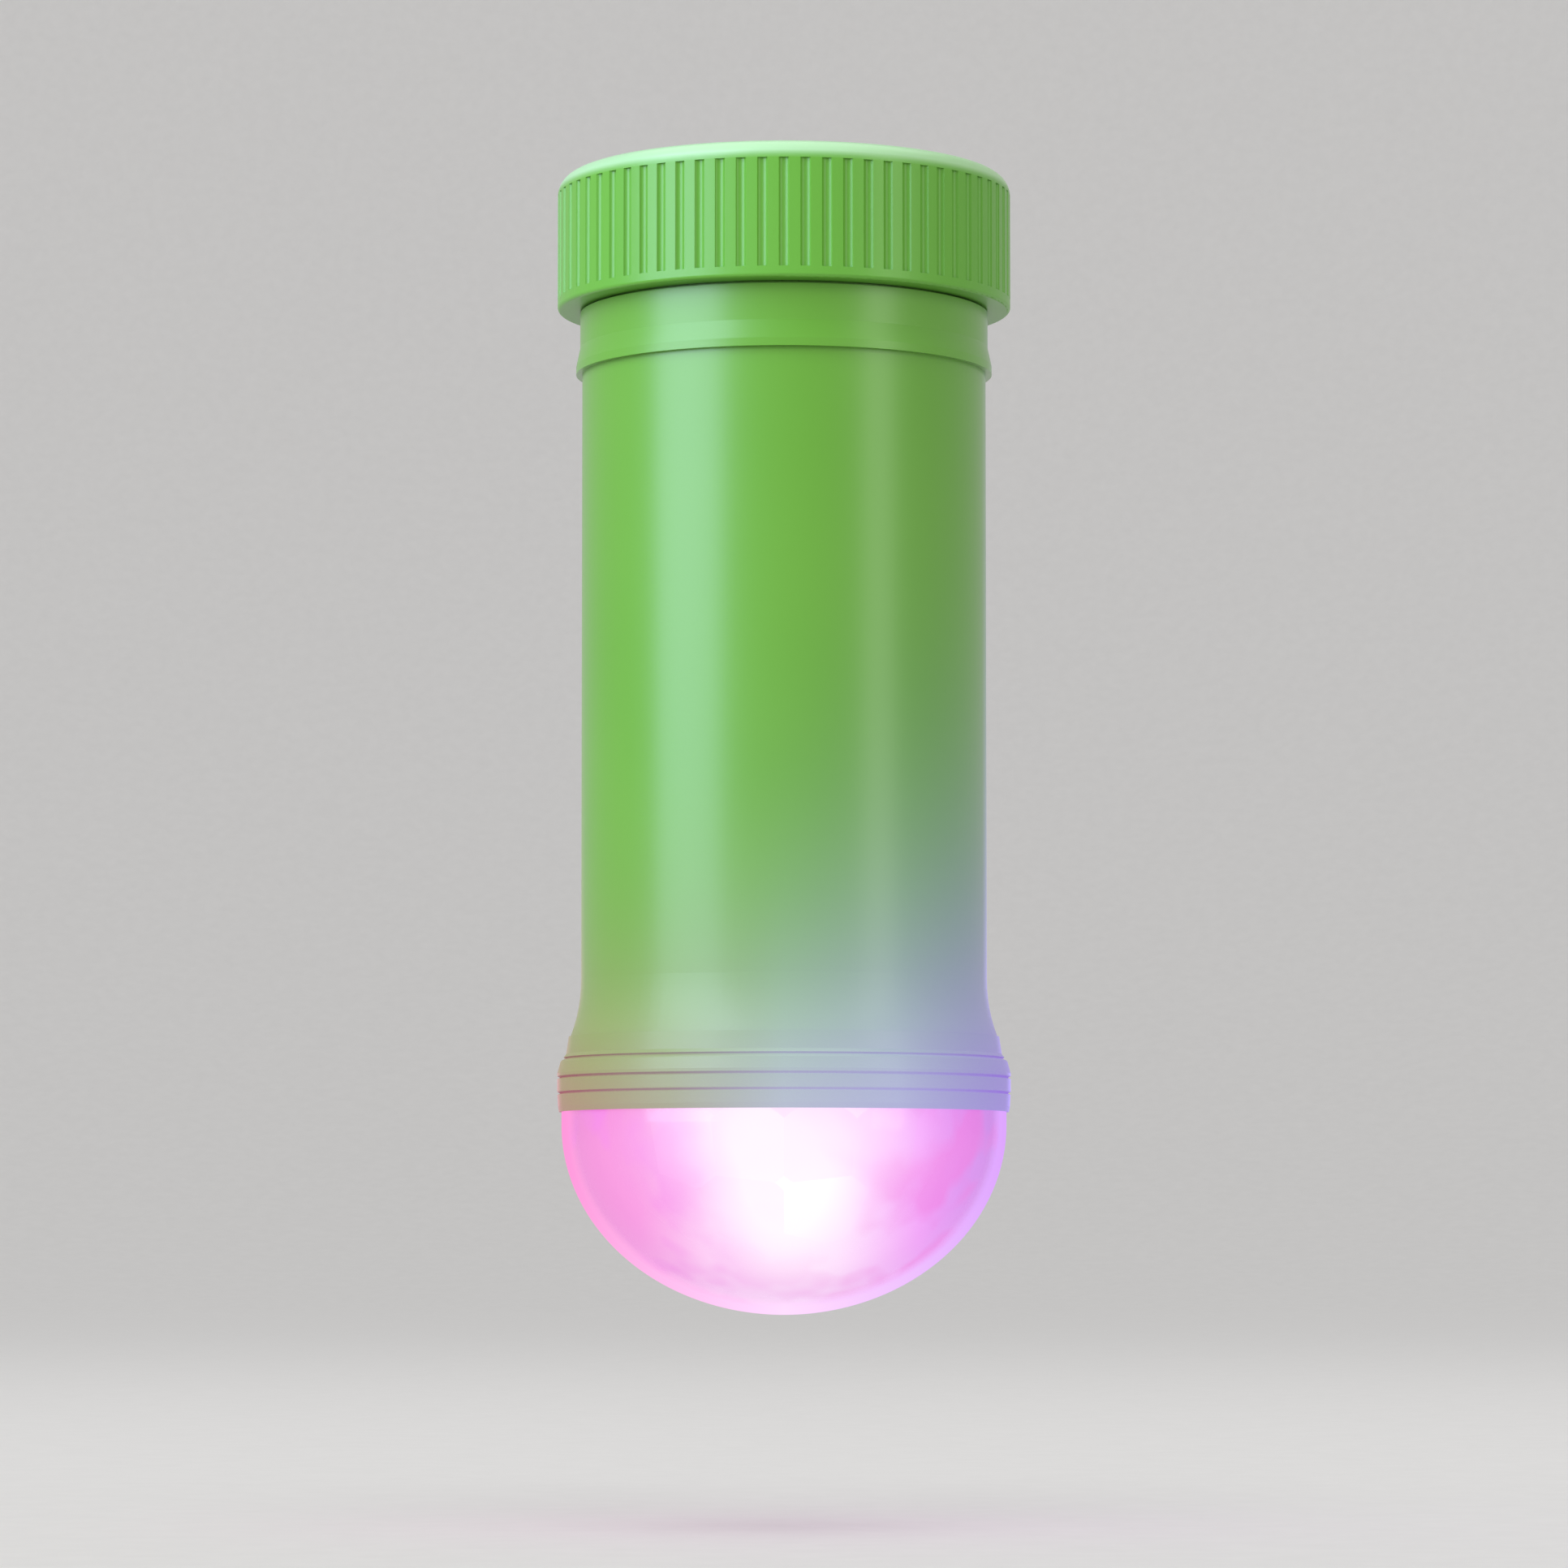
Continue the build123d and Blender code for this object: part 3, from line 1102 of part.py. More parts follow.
with BuildPart() as bracket:
    # Channel block with its back corners rounded and its upper edges broken
    with BuildSketch(level(BAR_LEVEL + CHANNEL_FOOT)) as block:
        with Locations((0, (CHANNEL_FRONT + CHANNEL_BACK) / 2)):
            Rectangle(2 * CHANNEL_HALF, CHANNEL_BACK - CHANNEL_FRONT)
        fillet(block.vertices().group_by(Axis.Y)[-1], radius=BRACKET_EDGE_R)
    extrude(amount=RAIL_TOP - CHANNEL_FOOT)
    chamfer(bracket.faces().sort_by(Axis.Z)[-1].edges(), length=BRACKET_CHAMFER)
    chamfer(bracket.faces().sort_by(Axis.Z)[0].edges(), length=BRACKET_CHAMFER)
    # Front half of the clamp: half a ring, its backing, the root of the hinge and the ear
    with BuildSketch(Plane.YZ) as half_clamp:
        Circle(RING_R)
        Polygon(
            (PLATE_Y, BACKING_TOP),
            (PLATE_BACK_Y, BACKING_TOP),
            (BACKING_REACH, BACKING_HALF),
            (BACKING_REACH, -BACKING_HALF),
            (PLATE_BACK_Y, BACKING_FOOT),
            (PLATE_Y, BACKING_FOOT),
            align=None,
        )
        Polygon(*[(-y, z) for y, z in HINGE_ROOT], align=None)
        Polygon((EAR_FRONT, EAR_FOOT), (0, EAR_FOOT), (0, EAR_TOP), (EAR_FRONT, EAR_TOP), align=None)
        with Locations((RING_R - SPLIT, 0)):
            Rectangle(2 * RING_R, 4 * RING_R, mode=Mode.SUBTRACT)
        Circle(RING_BORE_R, mode=Mode.SUBTRACT)
        fillet(corner_near(half_clamp.vertices(), EAR_FRONT, EAR_FOOT), radius=EAR_CORNER_R)
        fillet(corner_near(half_clamp.vertices(), EAR_FRONT, EAR_MEETS_RING), radius=BLEND_R)
    extrude(amount=CLAMP_HALF, both=True)
    # Rail channel, and the slot for the release tab, open at the foot
    box_behind(
        RAIL_HEAD_HALF + RAIL_PLAY,
        RAIL_HEAD_FRONT - RAIL_PLAY,
        PLATE_FRONT,
        RAIL_FOOT,
        RAIL_TOP,
        mode=Mode.SUBTRACT,
    )
    box_behind(
        RAIL_NECK_HALF + RAIL_PLAY,
        CHANNEL_FRONT,
        PLATE_FRONT,
        RAIL_FOOT,
        RAIL_TOP,
        mode=Mode.SUBTRACT,
    )
    box_behind(
        TAB_SLOT_HALF,
        PLATE_FRONT,
        CHANNEL_BACK,
        FLOOR_FOOT,
        TAB_SLOT_TOP,
        mode=Mode.SUBTRACT,
    )
    box_behind(
        TAB_SLOT_HALF,
        SPRING_WALL_BACK,
        CHANNEL_BACK,
        CHANNEL_FOOT,
        FLOOR_FOOT,
        mode=Mode.SUBTRACT,
    )
    # Shallow seat for the tab's spring in the wall in front of it
    with BuildSketch(across(SPRING_WALL_BACK)):
        with Locations((0, TAB_SPRING_Z)):
            Circle(SPRING_POCKET_R)
    extrude(amount=SPRING_POCKET, mode=Mode.SUBTRACT)
    knuckle_end = KNUCKLE_HALF + KNUCKLE_GAP
    knuckle(-knuckle_end, knuckle_end, KNUCKLE_R + KNUCKLE_ROOM, mode=Mode.SUBTRACT)
    knuckle(knuckle_end, CLAMP_HALF, KNUCKLE_R)
    knuckle(-CLAMP_HALF, -knuckle_end, KNUCKLE_R)
    knuckle(-CLAMP_HALF, CLAMP_HALF, HINGE_PIN_R, mode=Mode.SUBTRACT)
    # Screw hole and nut pocket in the ear
    ear_hole(EAR_FRONT, 0, SCREW_R + SCREW_PLAY)
    with BuildSketch(across(STANDOFF + EAR_FRONT + NUT_THICK)):
        with Locations((0, SCREW_Z)):
            RegularPolygon(NUT_FLATS / 2 + RUNNING_FIT, 6, major_radius=False)
    extrude(amount=NUT_THICK, mode=Mode.SUBTRACT)
    # Holes for the tab's pin
    with BuildSketch(Plane.YZ):
        with Locations((TAB_PIN_Y - STANDOFF, TAB_PIN_Z)):
            Circle(TAB_PIN_R)
    extrude(amount=CHANNEL_HALF, both=True, mode=Mode.SUBTRACT)
bracket.part.label = "bracket"
export_step(bracket.part, "parts/bracket.step")

with BuildPart() as release_tab:
    with BuildSketch(Plane.YZ.offset(-TAB_HALF)) as lever:
        with Locations((-STANDOFF, 0)):
            Polygon(
                (TAB_BACK, TAB_TOP),
                (TAB_BACK, TAB_BEND),
                (PAD_BACK, PAD_TOP),
                (PAD_BACK, PAD_FOOT),
                (PAD_FRONT, PAD_FOOT),
                (PAD_FRONT, PAD_CHIN),
                (TAB_FRONT, TAB_HEEL),
                (TAB_FRONT, TOOTH_FOOT),
                (TOOTH_FRONT, TOOTH_FOOT),
                (TOOTH_FRONT, TOOTH_TOP),
                (TAB_FRONT, TOOTH_RAMP_TOP),
                (TAB_FRONT, TAB_TOP),
                align=None,
            )
        for back, height, radius in TAB_BENDS:
            fillet(corner_near(lever.vertices(), back - STANDOFF, height), radius=radius)
        # Grooves that the thumb finds on the pad
        groove_y = PAD_BACK - PAD_GROOVE_DEPTH + PAD_GROOVE_R - STANDOFF
        with Locations(*[(groove_y, groove) for groove in PAD_GROOVES]):
            Circle(PAD_GROOVE_R, mode=Mode.SUBTRACT)
        with Locations((TAB_PIN_Y - STANDOFF, TAB_PIN_Z)):
            Circle(TAB_PIN_R + RUNNING_FIT, mode=Mode.SUBTRACT)
    extrude(amount=2 * TAB_HALF)
release_tab.part.label = "release_tab"
export_step(release_tab.part, "parts/release_tab.step")

with BuildPart() as tab_spring:
    with BuildLine():
        tab_coil = Helix(
            pitch=TAB_SPRING_LENGTH / TAB_SPRING_TURNS,
            height=TAB_SPRING_LENGTH,
            radius=TAB_SPRING_R,
            center=(0, SPRING_SEAT + TAB_SPRING_WIRE_R - STANDOFF, TAB_SPRING_Z),
            direction=(0, 1, 0),
        )
    with BuildSketch(Plane(origin=tab_coil @ 0, z_dir=tab_coil % 0)):
        Circle(TAB_SPRING_WIRE_R)
    sweep(path=tab_coil.edge(), is_frenet=True)
tab_spring.part.label = "tab_spring"
export_step(tab_spring.part, "parts/tab_spring.step")

with BuildPart() as tab_pin:
    with BuildSketch(Plane.YZ):
        with Locations((TAB_PIN_Y - STANDOFF, TAB_PIN_Z)):
            Circle(TAB_PIN_R)
    extrude(amount=CHANNEL_HALF, both=True)
tab_pin.part.label = "tab_pin"
export_step(tab_pin.part, "parts/tab_pin.step")

# Rear jaw of the clamp, hinged at the top and drawn in by the screw at the foot

with BuildPart() as clamp_jaw:
    with BuildSketch(Plane.YZ) as half_jaw:
        Circle(RING_R)
        Polygon(*HINGE_ROOT, align=None)
        Polygon((0, EAR_FOOT), (EAR_BACK, EAR_FOOT), (EAR_BACK, EAR_TOP), (0, EAR_TOP), align=None)
        with Locations((SPLIT - RING_R, 0)):
            Rectangle(2 * RING_R, 4 * RING_R, mode=Mode.SUBTRACT)
        Circle(RING_BORE_R, mode=Mode.SUBTRACT)
        fillet(corner_near(half_jaw.vertices(), EAR_BACK, EAR_FOOT), radius=EAR_CORNER_R)
        fillet(corner_near(half_jaw.vertices(), EAR_BACK, EAR_MEETS_RING), radius=BLEND_R)
        fillet(corner_near(half_jaw.vertices(), HINGE_ROOT[0][0], HINGE_MEETS_RING), radius=BLEND_R)
    extrude(amount=CLAMP_HALF, both=True)
    chamfer(round_edges(clamp_jaw.edges(), RING_R), length=RING_CHAMFER)
    knuckle(KNUCKLE_HALF, CLAMP_HALF, KNUCKLE_R + KNUCKLE_ROOM, mode=Mode.SUBTRACT)
    knuckle(-CLAMP_HALF, -KNUCKLE_HALF, KNUCKLE_R + KNUCKLE_ROOM, mode=Mode.SUBTRACT)
    knuckle(-KNUCKLE_HALF, KNUCKLE_HALF, KNUCKLE_R)
    knuckle(-KNUCKLE_HALF, KNUCKLE_HALF, HINGE_PIN_R + RUNNING_FIT, mode=Mode.SUBTRACT)
    # The screw's hole is a slot, so that the ear can swing along the screw
    with BuildSketch(across(STANDOFF + EAR_BACK)):
        with Locations((0, SCREW_Z)):
            SlotOverall(JAW_SLOT, 2 * SCREW_R + JAW_SLOT_PLAY, rotation=90)
    extrude(amount=EAR_BACK, mode=Mode.SUBTRACT)
clamp_jaw.part.label = "clamp_jaw"
export_step(clamp_jaw.part, "parts/clamp_jaw.step")

with BuildPart() as hinge_pin:
    knuckle(-CLAMP_HALF, CLAMP_HALF, HINGE_PIN_R)
    knuckle(CLAMP_HALF, CLAMP_HALF + HINGE_PIN_HEAD, HINGE_PIN_HEAD_R)
    knuckle(-CLAMP_HALF - HINGE_PIN_HEAD, -CLAMP_HALF, HINGE_PIN_HEAD_R)
hinge_pin.part.label = "hinge_pin"
export_step(hinge_pin.part, "parts/hinge_pin.step")

for side, name in ((-1, "bar_liner_front"), (1, "bar_liner_rear")):
    with BuildPart() as liner:
        with BuildSketch(Plane.YZ):
            Circle(RING_BORE_R)
            Circle(BAR_R, mode=Mode.SUBTRACT)
            with Locations((side * (2 * SPLIT - RING_R), 0)):
                Rectangle(2 * RING_R, 2 * RING_R, mode=Mode.SUBTRACT)
        extrude(amount=CLAMP_HALF - LINER_INSET, both=True)
    liner.part.label = name
    export_step(liner.part, f"parts/{name}.step")

with BuildPart() as captive_nut:
    with BuildSketch(across(STANDOFF + EAR_FRONT + NUT_THICK)):
        with Locations((0, SCREW_Z)):
            RegularPolygon(NUT_FLATS / 2, 6, major_radius=False)
            Circle(SCREW_R + RUNNING_FIT, mode=Mode.SUBTRACT)
    extrude(amount=NUT_THICK)
captive_nut.part.label = "captive_nut"
export_step(captive_nut.part, "parts/captive_nut.step")

with BuildPart() as washer:
    ear_hole(EAR_BACK, KNOB_FOOT, WASHER_R, mode=Mode.ADD)
    ear_hole(EAR_BACK, KNOB_FOOT, SCREW_R + WASHER_PLAY)
washer.part.label = "washer"
export_step(washer.part, "parts/washer.step")

with BuildPart() as clamp_screw:
    ear_hole(SCREW_TIP, SCREW_HEAD, SCREW_R, mode=Mode.ADD)
    chamfer(clamp_screw.edges().group_by(Axis.Y)[0], length=SCREW_TIP_CHAMFER)
clamp_screw.part.label = "clamp_screw"
export_step(clamp_screw.part, "parts/clamp_screw.step")

with BuildPart() as clamp_knob:
    # Lobed grip with soft edges on a round foot, and a shallow dish in its end
    with BuildSketch(across(STANDOFF + KNOB_END)) as grip:
        with Locations((0, SCREW_Z)):
            Circle(KNOB_R)
            with PolarLocations(KNOB_R + KNOB_LOBE_REACH, KNOB_LOBES):
                Circle(KNOB_LOBE_R, mode=Mode.SUBTRACT)
        fillet(grip.vertices(), radius=KNOB_LOBE_EDGE_R)
    extrude(amount=KNOB_LENGTH - KNOB_SHOULDER)
    fillet(clamp_knob.faces().sort_by(Axis.Y)[-1].edges(), radius=KNOB_EDGE_R)
    ear_hole(KNOB_FOOT, KNOB_FOOT + KNOB_SHOULDER, KNOB_SHOULDER_R, mode=Mode.ADD)
    ear_hole(KNOB_END - KNOB_DISH, KNOB_END, KNOB_DISH_R)
    ear_hole(KNOB_FOOT, SCREW_HEAD, SCREW_R)
clamp_knob.part.label = "clamp_knob"
export_step(clamp_knob.part, "parts/clamp_knob.step")
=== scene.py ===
# %% [markdown]
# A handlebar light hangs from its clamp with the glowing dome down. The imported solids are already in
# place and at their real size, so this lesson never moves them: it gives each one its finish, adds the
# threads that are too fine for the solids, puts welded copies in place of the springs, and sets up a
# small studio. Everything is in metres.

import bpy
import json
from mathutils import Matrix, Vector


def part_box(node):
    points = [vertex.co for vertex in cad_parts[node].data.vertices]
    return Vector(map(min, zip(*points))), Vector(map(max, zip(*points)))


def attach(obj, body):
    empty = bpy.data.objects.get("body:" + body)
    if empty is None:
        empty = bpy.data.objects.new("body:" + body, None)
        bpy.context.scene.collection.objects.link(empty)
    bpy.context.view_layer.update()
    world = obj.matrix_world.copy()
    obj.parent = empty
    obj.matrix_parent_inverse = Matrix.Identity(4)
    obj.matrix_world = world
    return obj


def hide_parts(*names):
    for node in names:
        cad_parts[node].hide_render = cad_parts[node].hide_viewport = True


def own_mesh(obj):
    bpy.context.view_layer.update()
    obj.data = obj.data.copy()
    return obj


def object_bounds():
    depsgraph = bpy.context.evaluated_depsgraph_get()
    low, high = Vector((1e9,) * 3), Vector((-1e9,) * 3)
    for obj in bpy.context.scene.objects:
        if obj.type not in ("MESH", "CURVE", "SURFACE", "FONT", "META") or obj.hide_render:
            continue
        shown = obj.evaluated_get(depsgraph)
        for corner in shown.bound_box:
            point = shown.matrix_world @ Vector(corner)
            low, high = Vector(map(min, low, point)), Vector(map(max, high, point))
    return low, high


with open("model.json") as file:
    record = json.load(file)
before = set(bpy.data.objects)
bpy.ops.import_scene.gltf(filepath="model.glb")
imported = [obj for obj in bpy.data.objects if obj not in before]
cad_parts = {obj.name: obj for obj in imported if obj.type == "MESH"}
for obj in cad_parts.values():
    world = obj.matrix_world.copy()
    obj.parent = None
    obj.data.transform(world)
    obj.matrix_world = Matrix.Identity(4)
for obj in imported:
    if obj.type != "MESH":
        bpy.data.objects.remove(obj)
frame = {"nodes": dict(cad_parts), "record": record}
cad_low, cad_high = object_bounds()
print("box of the solids:", [round(1000 * side, 1) for side in cad_high - cad_low], "mm")

# %% [markdown]
# The pieces that this lesson adds have to sit on the real ones, so their sizes are measured here and not
# guessed. A round part's box gives its radius and the place of its axis, and a height is always the
# world's Z. The light's own axis runs through the middle of the dome.

# %% Measure what the new pieces sit on
import json
import math

import bmesh
import bpy
from mathutils import Matrix, Vector

MM = 0.001


def middle(node):
    """The middle of a solid's box."""
    low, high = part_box(node)
    return (low + high) / 2


dome_low, dome_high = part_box("clear_dome")
cap_low, cap_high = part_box("screw_cap")
LIGHT_X, LIGHT_Y = middle("clear_dome").xy
DOME_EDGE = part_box("bezel_ring")[0].z
DOME_R = (dome_high.x - dome_low.x) / 2
print("axis of the light at y =", round(1000 * LIGHT_Y, 2), "mm, dome radius", round(1000 * DOME_R, 2), "mm")

# %% [markdown]
# The photograph was taken from straight in front with the eye level with the dome: the ring lines low on
# the light look straight, and those up at the cap bow upwards. That bow, about a twelfth of the cap's
# width, gives a distance of some two thirds of a metre. Only a slight upward tilt is used to bring the
# whole light into the frame, because a larger one would make the tube's sides lean together.

# %% Put the camera where the photograph was taken
EYE_LEVEL = DOME_EDGE - 13 * MM
EYE_DISTANCE = 0.67
FRAME_WIDTH = 0.180
AIM_SHARE = 0.72
LENS_RISE = 0.06
aim_height = EYE_LEVEL + AIM_SHARE * ((cap_high.z + dome_low.z) / 2 - EYE_LEVEL)
camera_data = bpy.data.cameras.new("camera")
camera_data.sensor_width = 36.0
camera_data.lens = camera_data.sensor_width * EYE_DISTANCE / FRAME_WIDTH
camera_data.shift_y = LENS_RISE
camera = bpy.data.objects.new("camera", camera_data)
camera.location = (LIGHT_X, LIGHT_Y - EYE_DISTANCE, EYE_LEVEL)
aim = Vector((LIGHT_X, LIGHT_Y, aim_height)) - camera.location
camera.rotation_euler = aim.to_track_quat("-Z", "Y").to_euler()
bpy.context.scene.collection.objects.link(camera)
bpy.context.scene.camera = camera
tilt = math.degrees(math.atan2(aim.z, aim.y))
print("lens", round(camera_data.lens, 1), "mm, tilt", round(tilt, 2), "degrees")

# %% [markdown]
# A material is a small program of nodes. Drawing its arithmetic node by node is slow to read, so a socket
# is wrapped in a class whose plus, minus, times, divide and power add the Math node that does the same. The
# formula then stands in the script as it would on paper.


# %% Write shader maths as Python
class Wire:
    """An output socket that can be used in Python arithmetic."""

    def __init__(self, tree, socket):
        self.tree = tree
        self.socket = socket

    def math(self, operation, *values):
        """Add a Math node for this operation on these wires and numbers."""
        node = self.tree.nodes.new("ShaderNodeMath")
        node.operation = operation
        for slot, value in zip(node.inputs, values):
            if isinstance(value, Wire):
                self.tree.links.new(value.socket, slot)
            else:
                slot.default_value = value
        return Wire(self.tree, node.outputs[0])

    def __add__(self, other):
        return self.math("ADD", self, other)

    def __radd__(self, other):
        return self.math("ADD", other, self)

    def __sub__(self, other):
        return self.math("SUBTRACT", self, other)

    def __rsub__(self, other):
        return self.math("SUBTRACT", other, self)

    def __mul__(self, other):
        return self.math("MULTIPLY", self, other)

    def __rmul__(self, other):
        return self.math("MULTIPLY", other, self)

    def __truediv__(self, other):
        return self.math("DIVIDE", self, other)

    def __pow__(self, other):
        return self.math("POWER", self, other)

    def __rpow__(self, other):
        return self.math("POWER", other, self)

    def __neg__(self):
        return self.math("MULTIPLY", self, -1.0)

    def __abs__(self):
        return self.math("ABSOLUTE", self)

    def at_least(self, other):
        """The larger of the two."""
        return self.math("MAXIMUM", self, other)

    def clamped(self):
        """The value held between 0 and 1."""
        return self.math("MINIMUM", self.at_least(0.0), 1.0)

    def rising(self, start, steepness):
        """0 up to a start, and from there rising to 1."""
        return ((self - start) * steepness).clamped()

    def between(self, low, high):
        """A number that runs from low to high as this one runs from 0 to 1."""
        return low + self * (high - low)


print("sums on sockets: a wire plus, minus, times, divided by or to the power of another wire or a number")

# %% [markdown]
# All other nodes come from one method. It sets the node's options first, because they decide which sockets
# the node has, and then a value or a link for each socket, by name or number. The Mix node keeps sockets
# for numbers, vectors and colours under the same names, so those for colours are reached by number.

# %% A material under construction
MIX_SHARE, MIX_FIRST, MIX_SECOND, MIX_COLOUR = 0, 6, 7, 2


def set_stops(bar, stops):
    """Give a colour ramp its stops, each a place from 0 to 1 and a colour."""
    for place, _ in stops[1:-1]:
        bar.elements.new(place)
    for element, (place, colour) in zip(bar.elements, stops):
        element.position = place
        element.color = colour


class Finish:
    """A material under construction: its node tree and the few steps that every finish repeats."""

    def __init__(self, name):
        self.material = bpy.data.materials.new(name)
        self.material.use_nodes = True
        self.tree = self.material.node_tree
        self.tree.nodes.clear()

    def node(self, kind, settings=None, sockets=None, output=0):
        """Add a node with these settings and sockets. The closing Output node has nothing to return."""
        made = self.tree.nodes.new(kind)
        for option, value in (settings or {}).items():
            if option == "stops":
                set_stops(made.color_ramp, value)
            else:
                setattr(made, option, value)
        for name, value in (sockets or {}).items():
            slot = made.inputs[name]
            if isinstance(value, Wire):
                self.tree.links.new(value.socket, slot)
            else:
                slot.default_value = value
        return Wire(self.tree, made.outputs[output]) if made.outputs else None

    def place(self):
        """Where a point is on the piece, in metres."""
        return self.node("ShaderNodeTexCoord", output="Object")

    def facing(self):
        """0 where the surface faces the eye, and 1 where one looks along it."""
        return self.node("ShaderNodeLayerWeight", sockets={"Blend": 0.5}, output="Facing")

    def along(self, axis, vector=None):
        """The X, Y or Z of a vector, or else of where a point is."""
        return self.node("ShaderNodeSeparateXYZ", sockets={"Vector": vector or self.place()}, output=axis)

    def normal(self, kind):
        """The way that the surface faces: True Normal for the flat face, Normal for the smoothed one."""
        return self.node("ShaderNodeNewGeometry", output=kind)

    def noise(self, per_metre, detail=3.0, vector=None):
        """A smooth random pattern between 0 and 1, with so many blotches to the metre."""
        return self.node(
            "ShaderNodeTexNoise",
            sockets={"Vector": vector or self.place(), "Scale": per_metre, "Detail": detail},
        )

    def mix(self, share, first, second, blend="MIX"):
        """A colour between two colours."""
        return self.node(
            "ShaderNodeMix",
            settings={"data_type": "RGBA", "blend_type": blend},
            sockets={MIX_SHARE: share, MIX_FIRST: first, MIX_SECOND: second},
            output=MIX_COLOUR,
        )

    def bump(self, height, depth):
        """Small relief: a height pattern from 0 to 1 and how deep it is in metres."""
        return self.node("ShaderNodeBump", sockets={"Height": height, "Distance": depth, "Strength": 1.0})

    def surface(self, sockets):
        """The general surface node with these sockets set."""
        return self.node("ShaderNodeBsdfPrincipled", sockets=sockets)

    def ramp(self, share, stops):
        """A colour that runs through the stops as share runs from 0 to 1."""
        return self.node("ShaderNodeValToRGB", settings={"stops": stops}, sockets={"Fac": share})

    def finished(self, shader, lights_others=True):
        """Close the tree. A faint glow is seen but needn't light its surroundings, which saves much time."""
        self.node("ShaderNodeOutputMaterial", sockets={"Surface": shader})
        if not lights_others:
            self.material.cycles.emission_sampling = "NONE"
        return self.material


def rgb(red, green, blue):
    """A colour given as it looks on a screen, from 0 to 255, turned into the linear values nodes use."""
    shares = [channel / 255 for channel in (red, green, blue)]
    return tuple(s / 12.92 if s <= 0.04045 else ((s + 0.055) / 1.055) ** 2.4 for s in shares) + (1.0,)


print("a mid grey of 128 is", round(rgb(128, 128, 128)[0], 3), "in linear light")

# %% [markdown]
# Close to the lamps the wall of the case lets light through, so the green fades into a violet glow towards
# the dome. The glow falls off slowly at first and then fast, as light does inside a cloudy wall: e to the
# minus of a power of the distance. The red lamp is on the left and the blue one on the right, so blue
# reaches higher up that side. As the pattern is fixed to the place, it runs on from the tube to the bezel
# without a seam.

# %% How far the glow reaches up the case
GLOW_FALL = 1.4
GLOW_REACH = (13.0 * MM, 18.0 * MM, 25.0 * MM)
GLOW_COLOURS = (
    (0.00, (0.29, 0.02, 0.13, 1)),
    (0.25, (0.28, 0.14, 0.26, 1)),
    (0.50, (0.36, 0.29, 0.60, 1)),
    (0.75, (0.34, 0.27, 0.66, 1)),
    (1.00, (0.24, 0.10, 0.62, 1)),
)


def lamp_side(across):
    """0 at the left edge of the dome, where the red lamp is, and 1 at the right, where the blue one is."""
    return ((across - LIGHT_X) / (2 * DOME_R) + 0.5).clamped()


def glow_share(side, height, stretch=1.0):
    """1 at the dome's edge, falling to 0 up the case within the reach that belongs to that side."""
    at_left, at_front, at_right = (reach * stretch for reach in GLOW_REACH)
    to_right = ((side - 0.5) * 2.0).clamped()
    to_left = ((0.5 - side) * 2.0).clamped()
    reach = at_front + to_right * (at_right - at_front) + to_left * (at_left - at_front)
    above_edge = (height - DOME_EDGE).at_least(0.0)
    return math.e ** -((above_edge / reach) ** GLOW_FALL)


print("the glow reaches", [round(1000 * reach) for reach in GLOW_REACH], "mm up the left, front and right")

# %% [markdown]
# The case is moulded in green plastic with a satin skin under a thin gloss. Where its wall shines by itself,
# the gloss is hardly seen, so the coat gets thinner by the same share. At the very edge of the silhouette
# one looks along the wall through more of it, so Layer Weight adds a thin brighter line. The cap is too far
# up to glow. Its slopes that face upwards carry a painted highlight, a pale band where the top light would
# catch them, but its flat top doesn't. A mask such as these slopes has a start and a steepness, which are
# kept together as a pair.

# %% The green case
EDGE_LINE = ((0.0, (0.40, 0.12, 0.26, 1)), (0.5, (0.3, 0.2, 0.4, 1)), (1.0, (0.26, 0.20, 0.62, 1)))
EDGE_LINE_RISE = (0.80, 5.0)
EDGE_LINE_STRETCH = 2.2
UPRIGHT_ONLY = 3.0
LIT_SHARE = 0.7
GLOSS_LOST = 0.85
CLOUDS_PER_METRE = 42.0
CLOUD_PALER = (8, 6, 8)
SKIN_GRAINS_PER_METRE = 2300.0
SKIN_GRAIN_DEPTH = 0.008 * MM
SATIN = (0.40, 0.48)
GRAIN_IN_ROUGHNESS = 0.05
# The cap's painted highlight: the slope where it starts, the flat top it stops short of, and how much of its
# pale tone it takes.
PAINTED_HIGHLIGHT_RISE = (0.06, 3.0)
FLAT_TOP = 0.995
FLAT_TOP_EDGE = 40.0
PAINTED_HIGHLIGHT_SHARE = 0.55


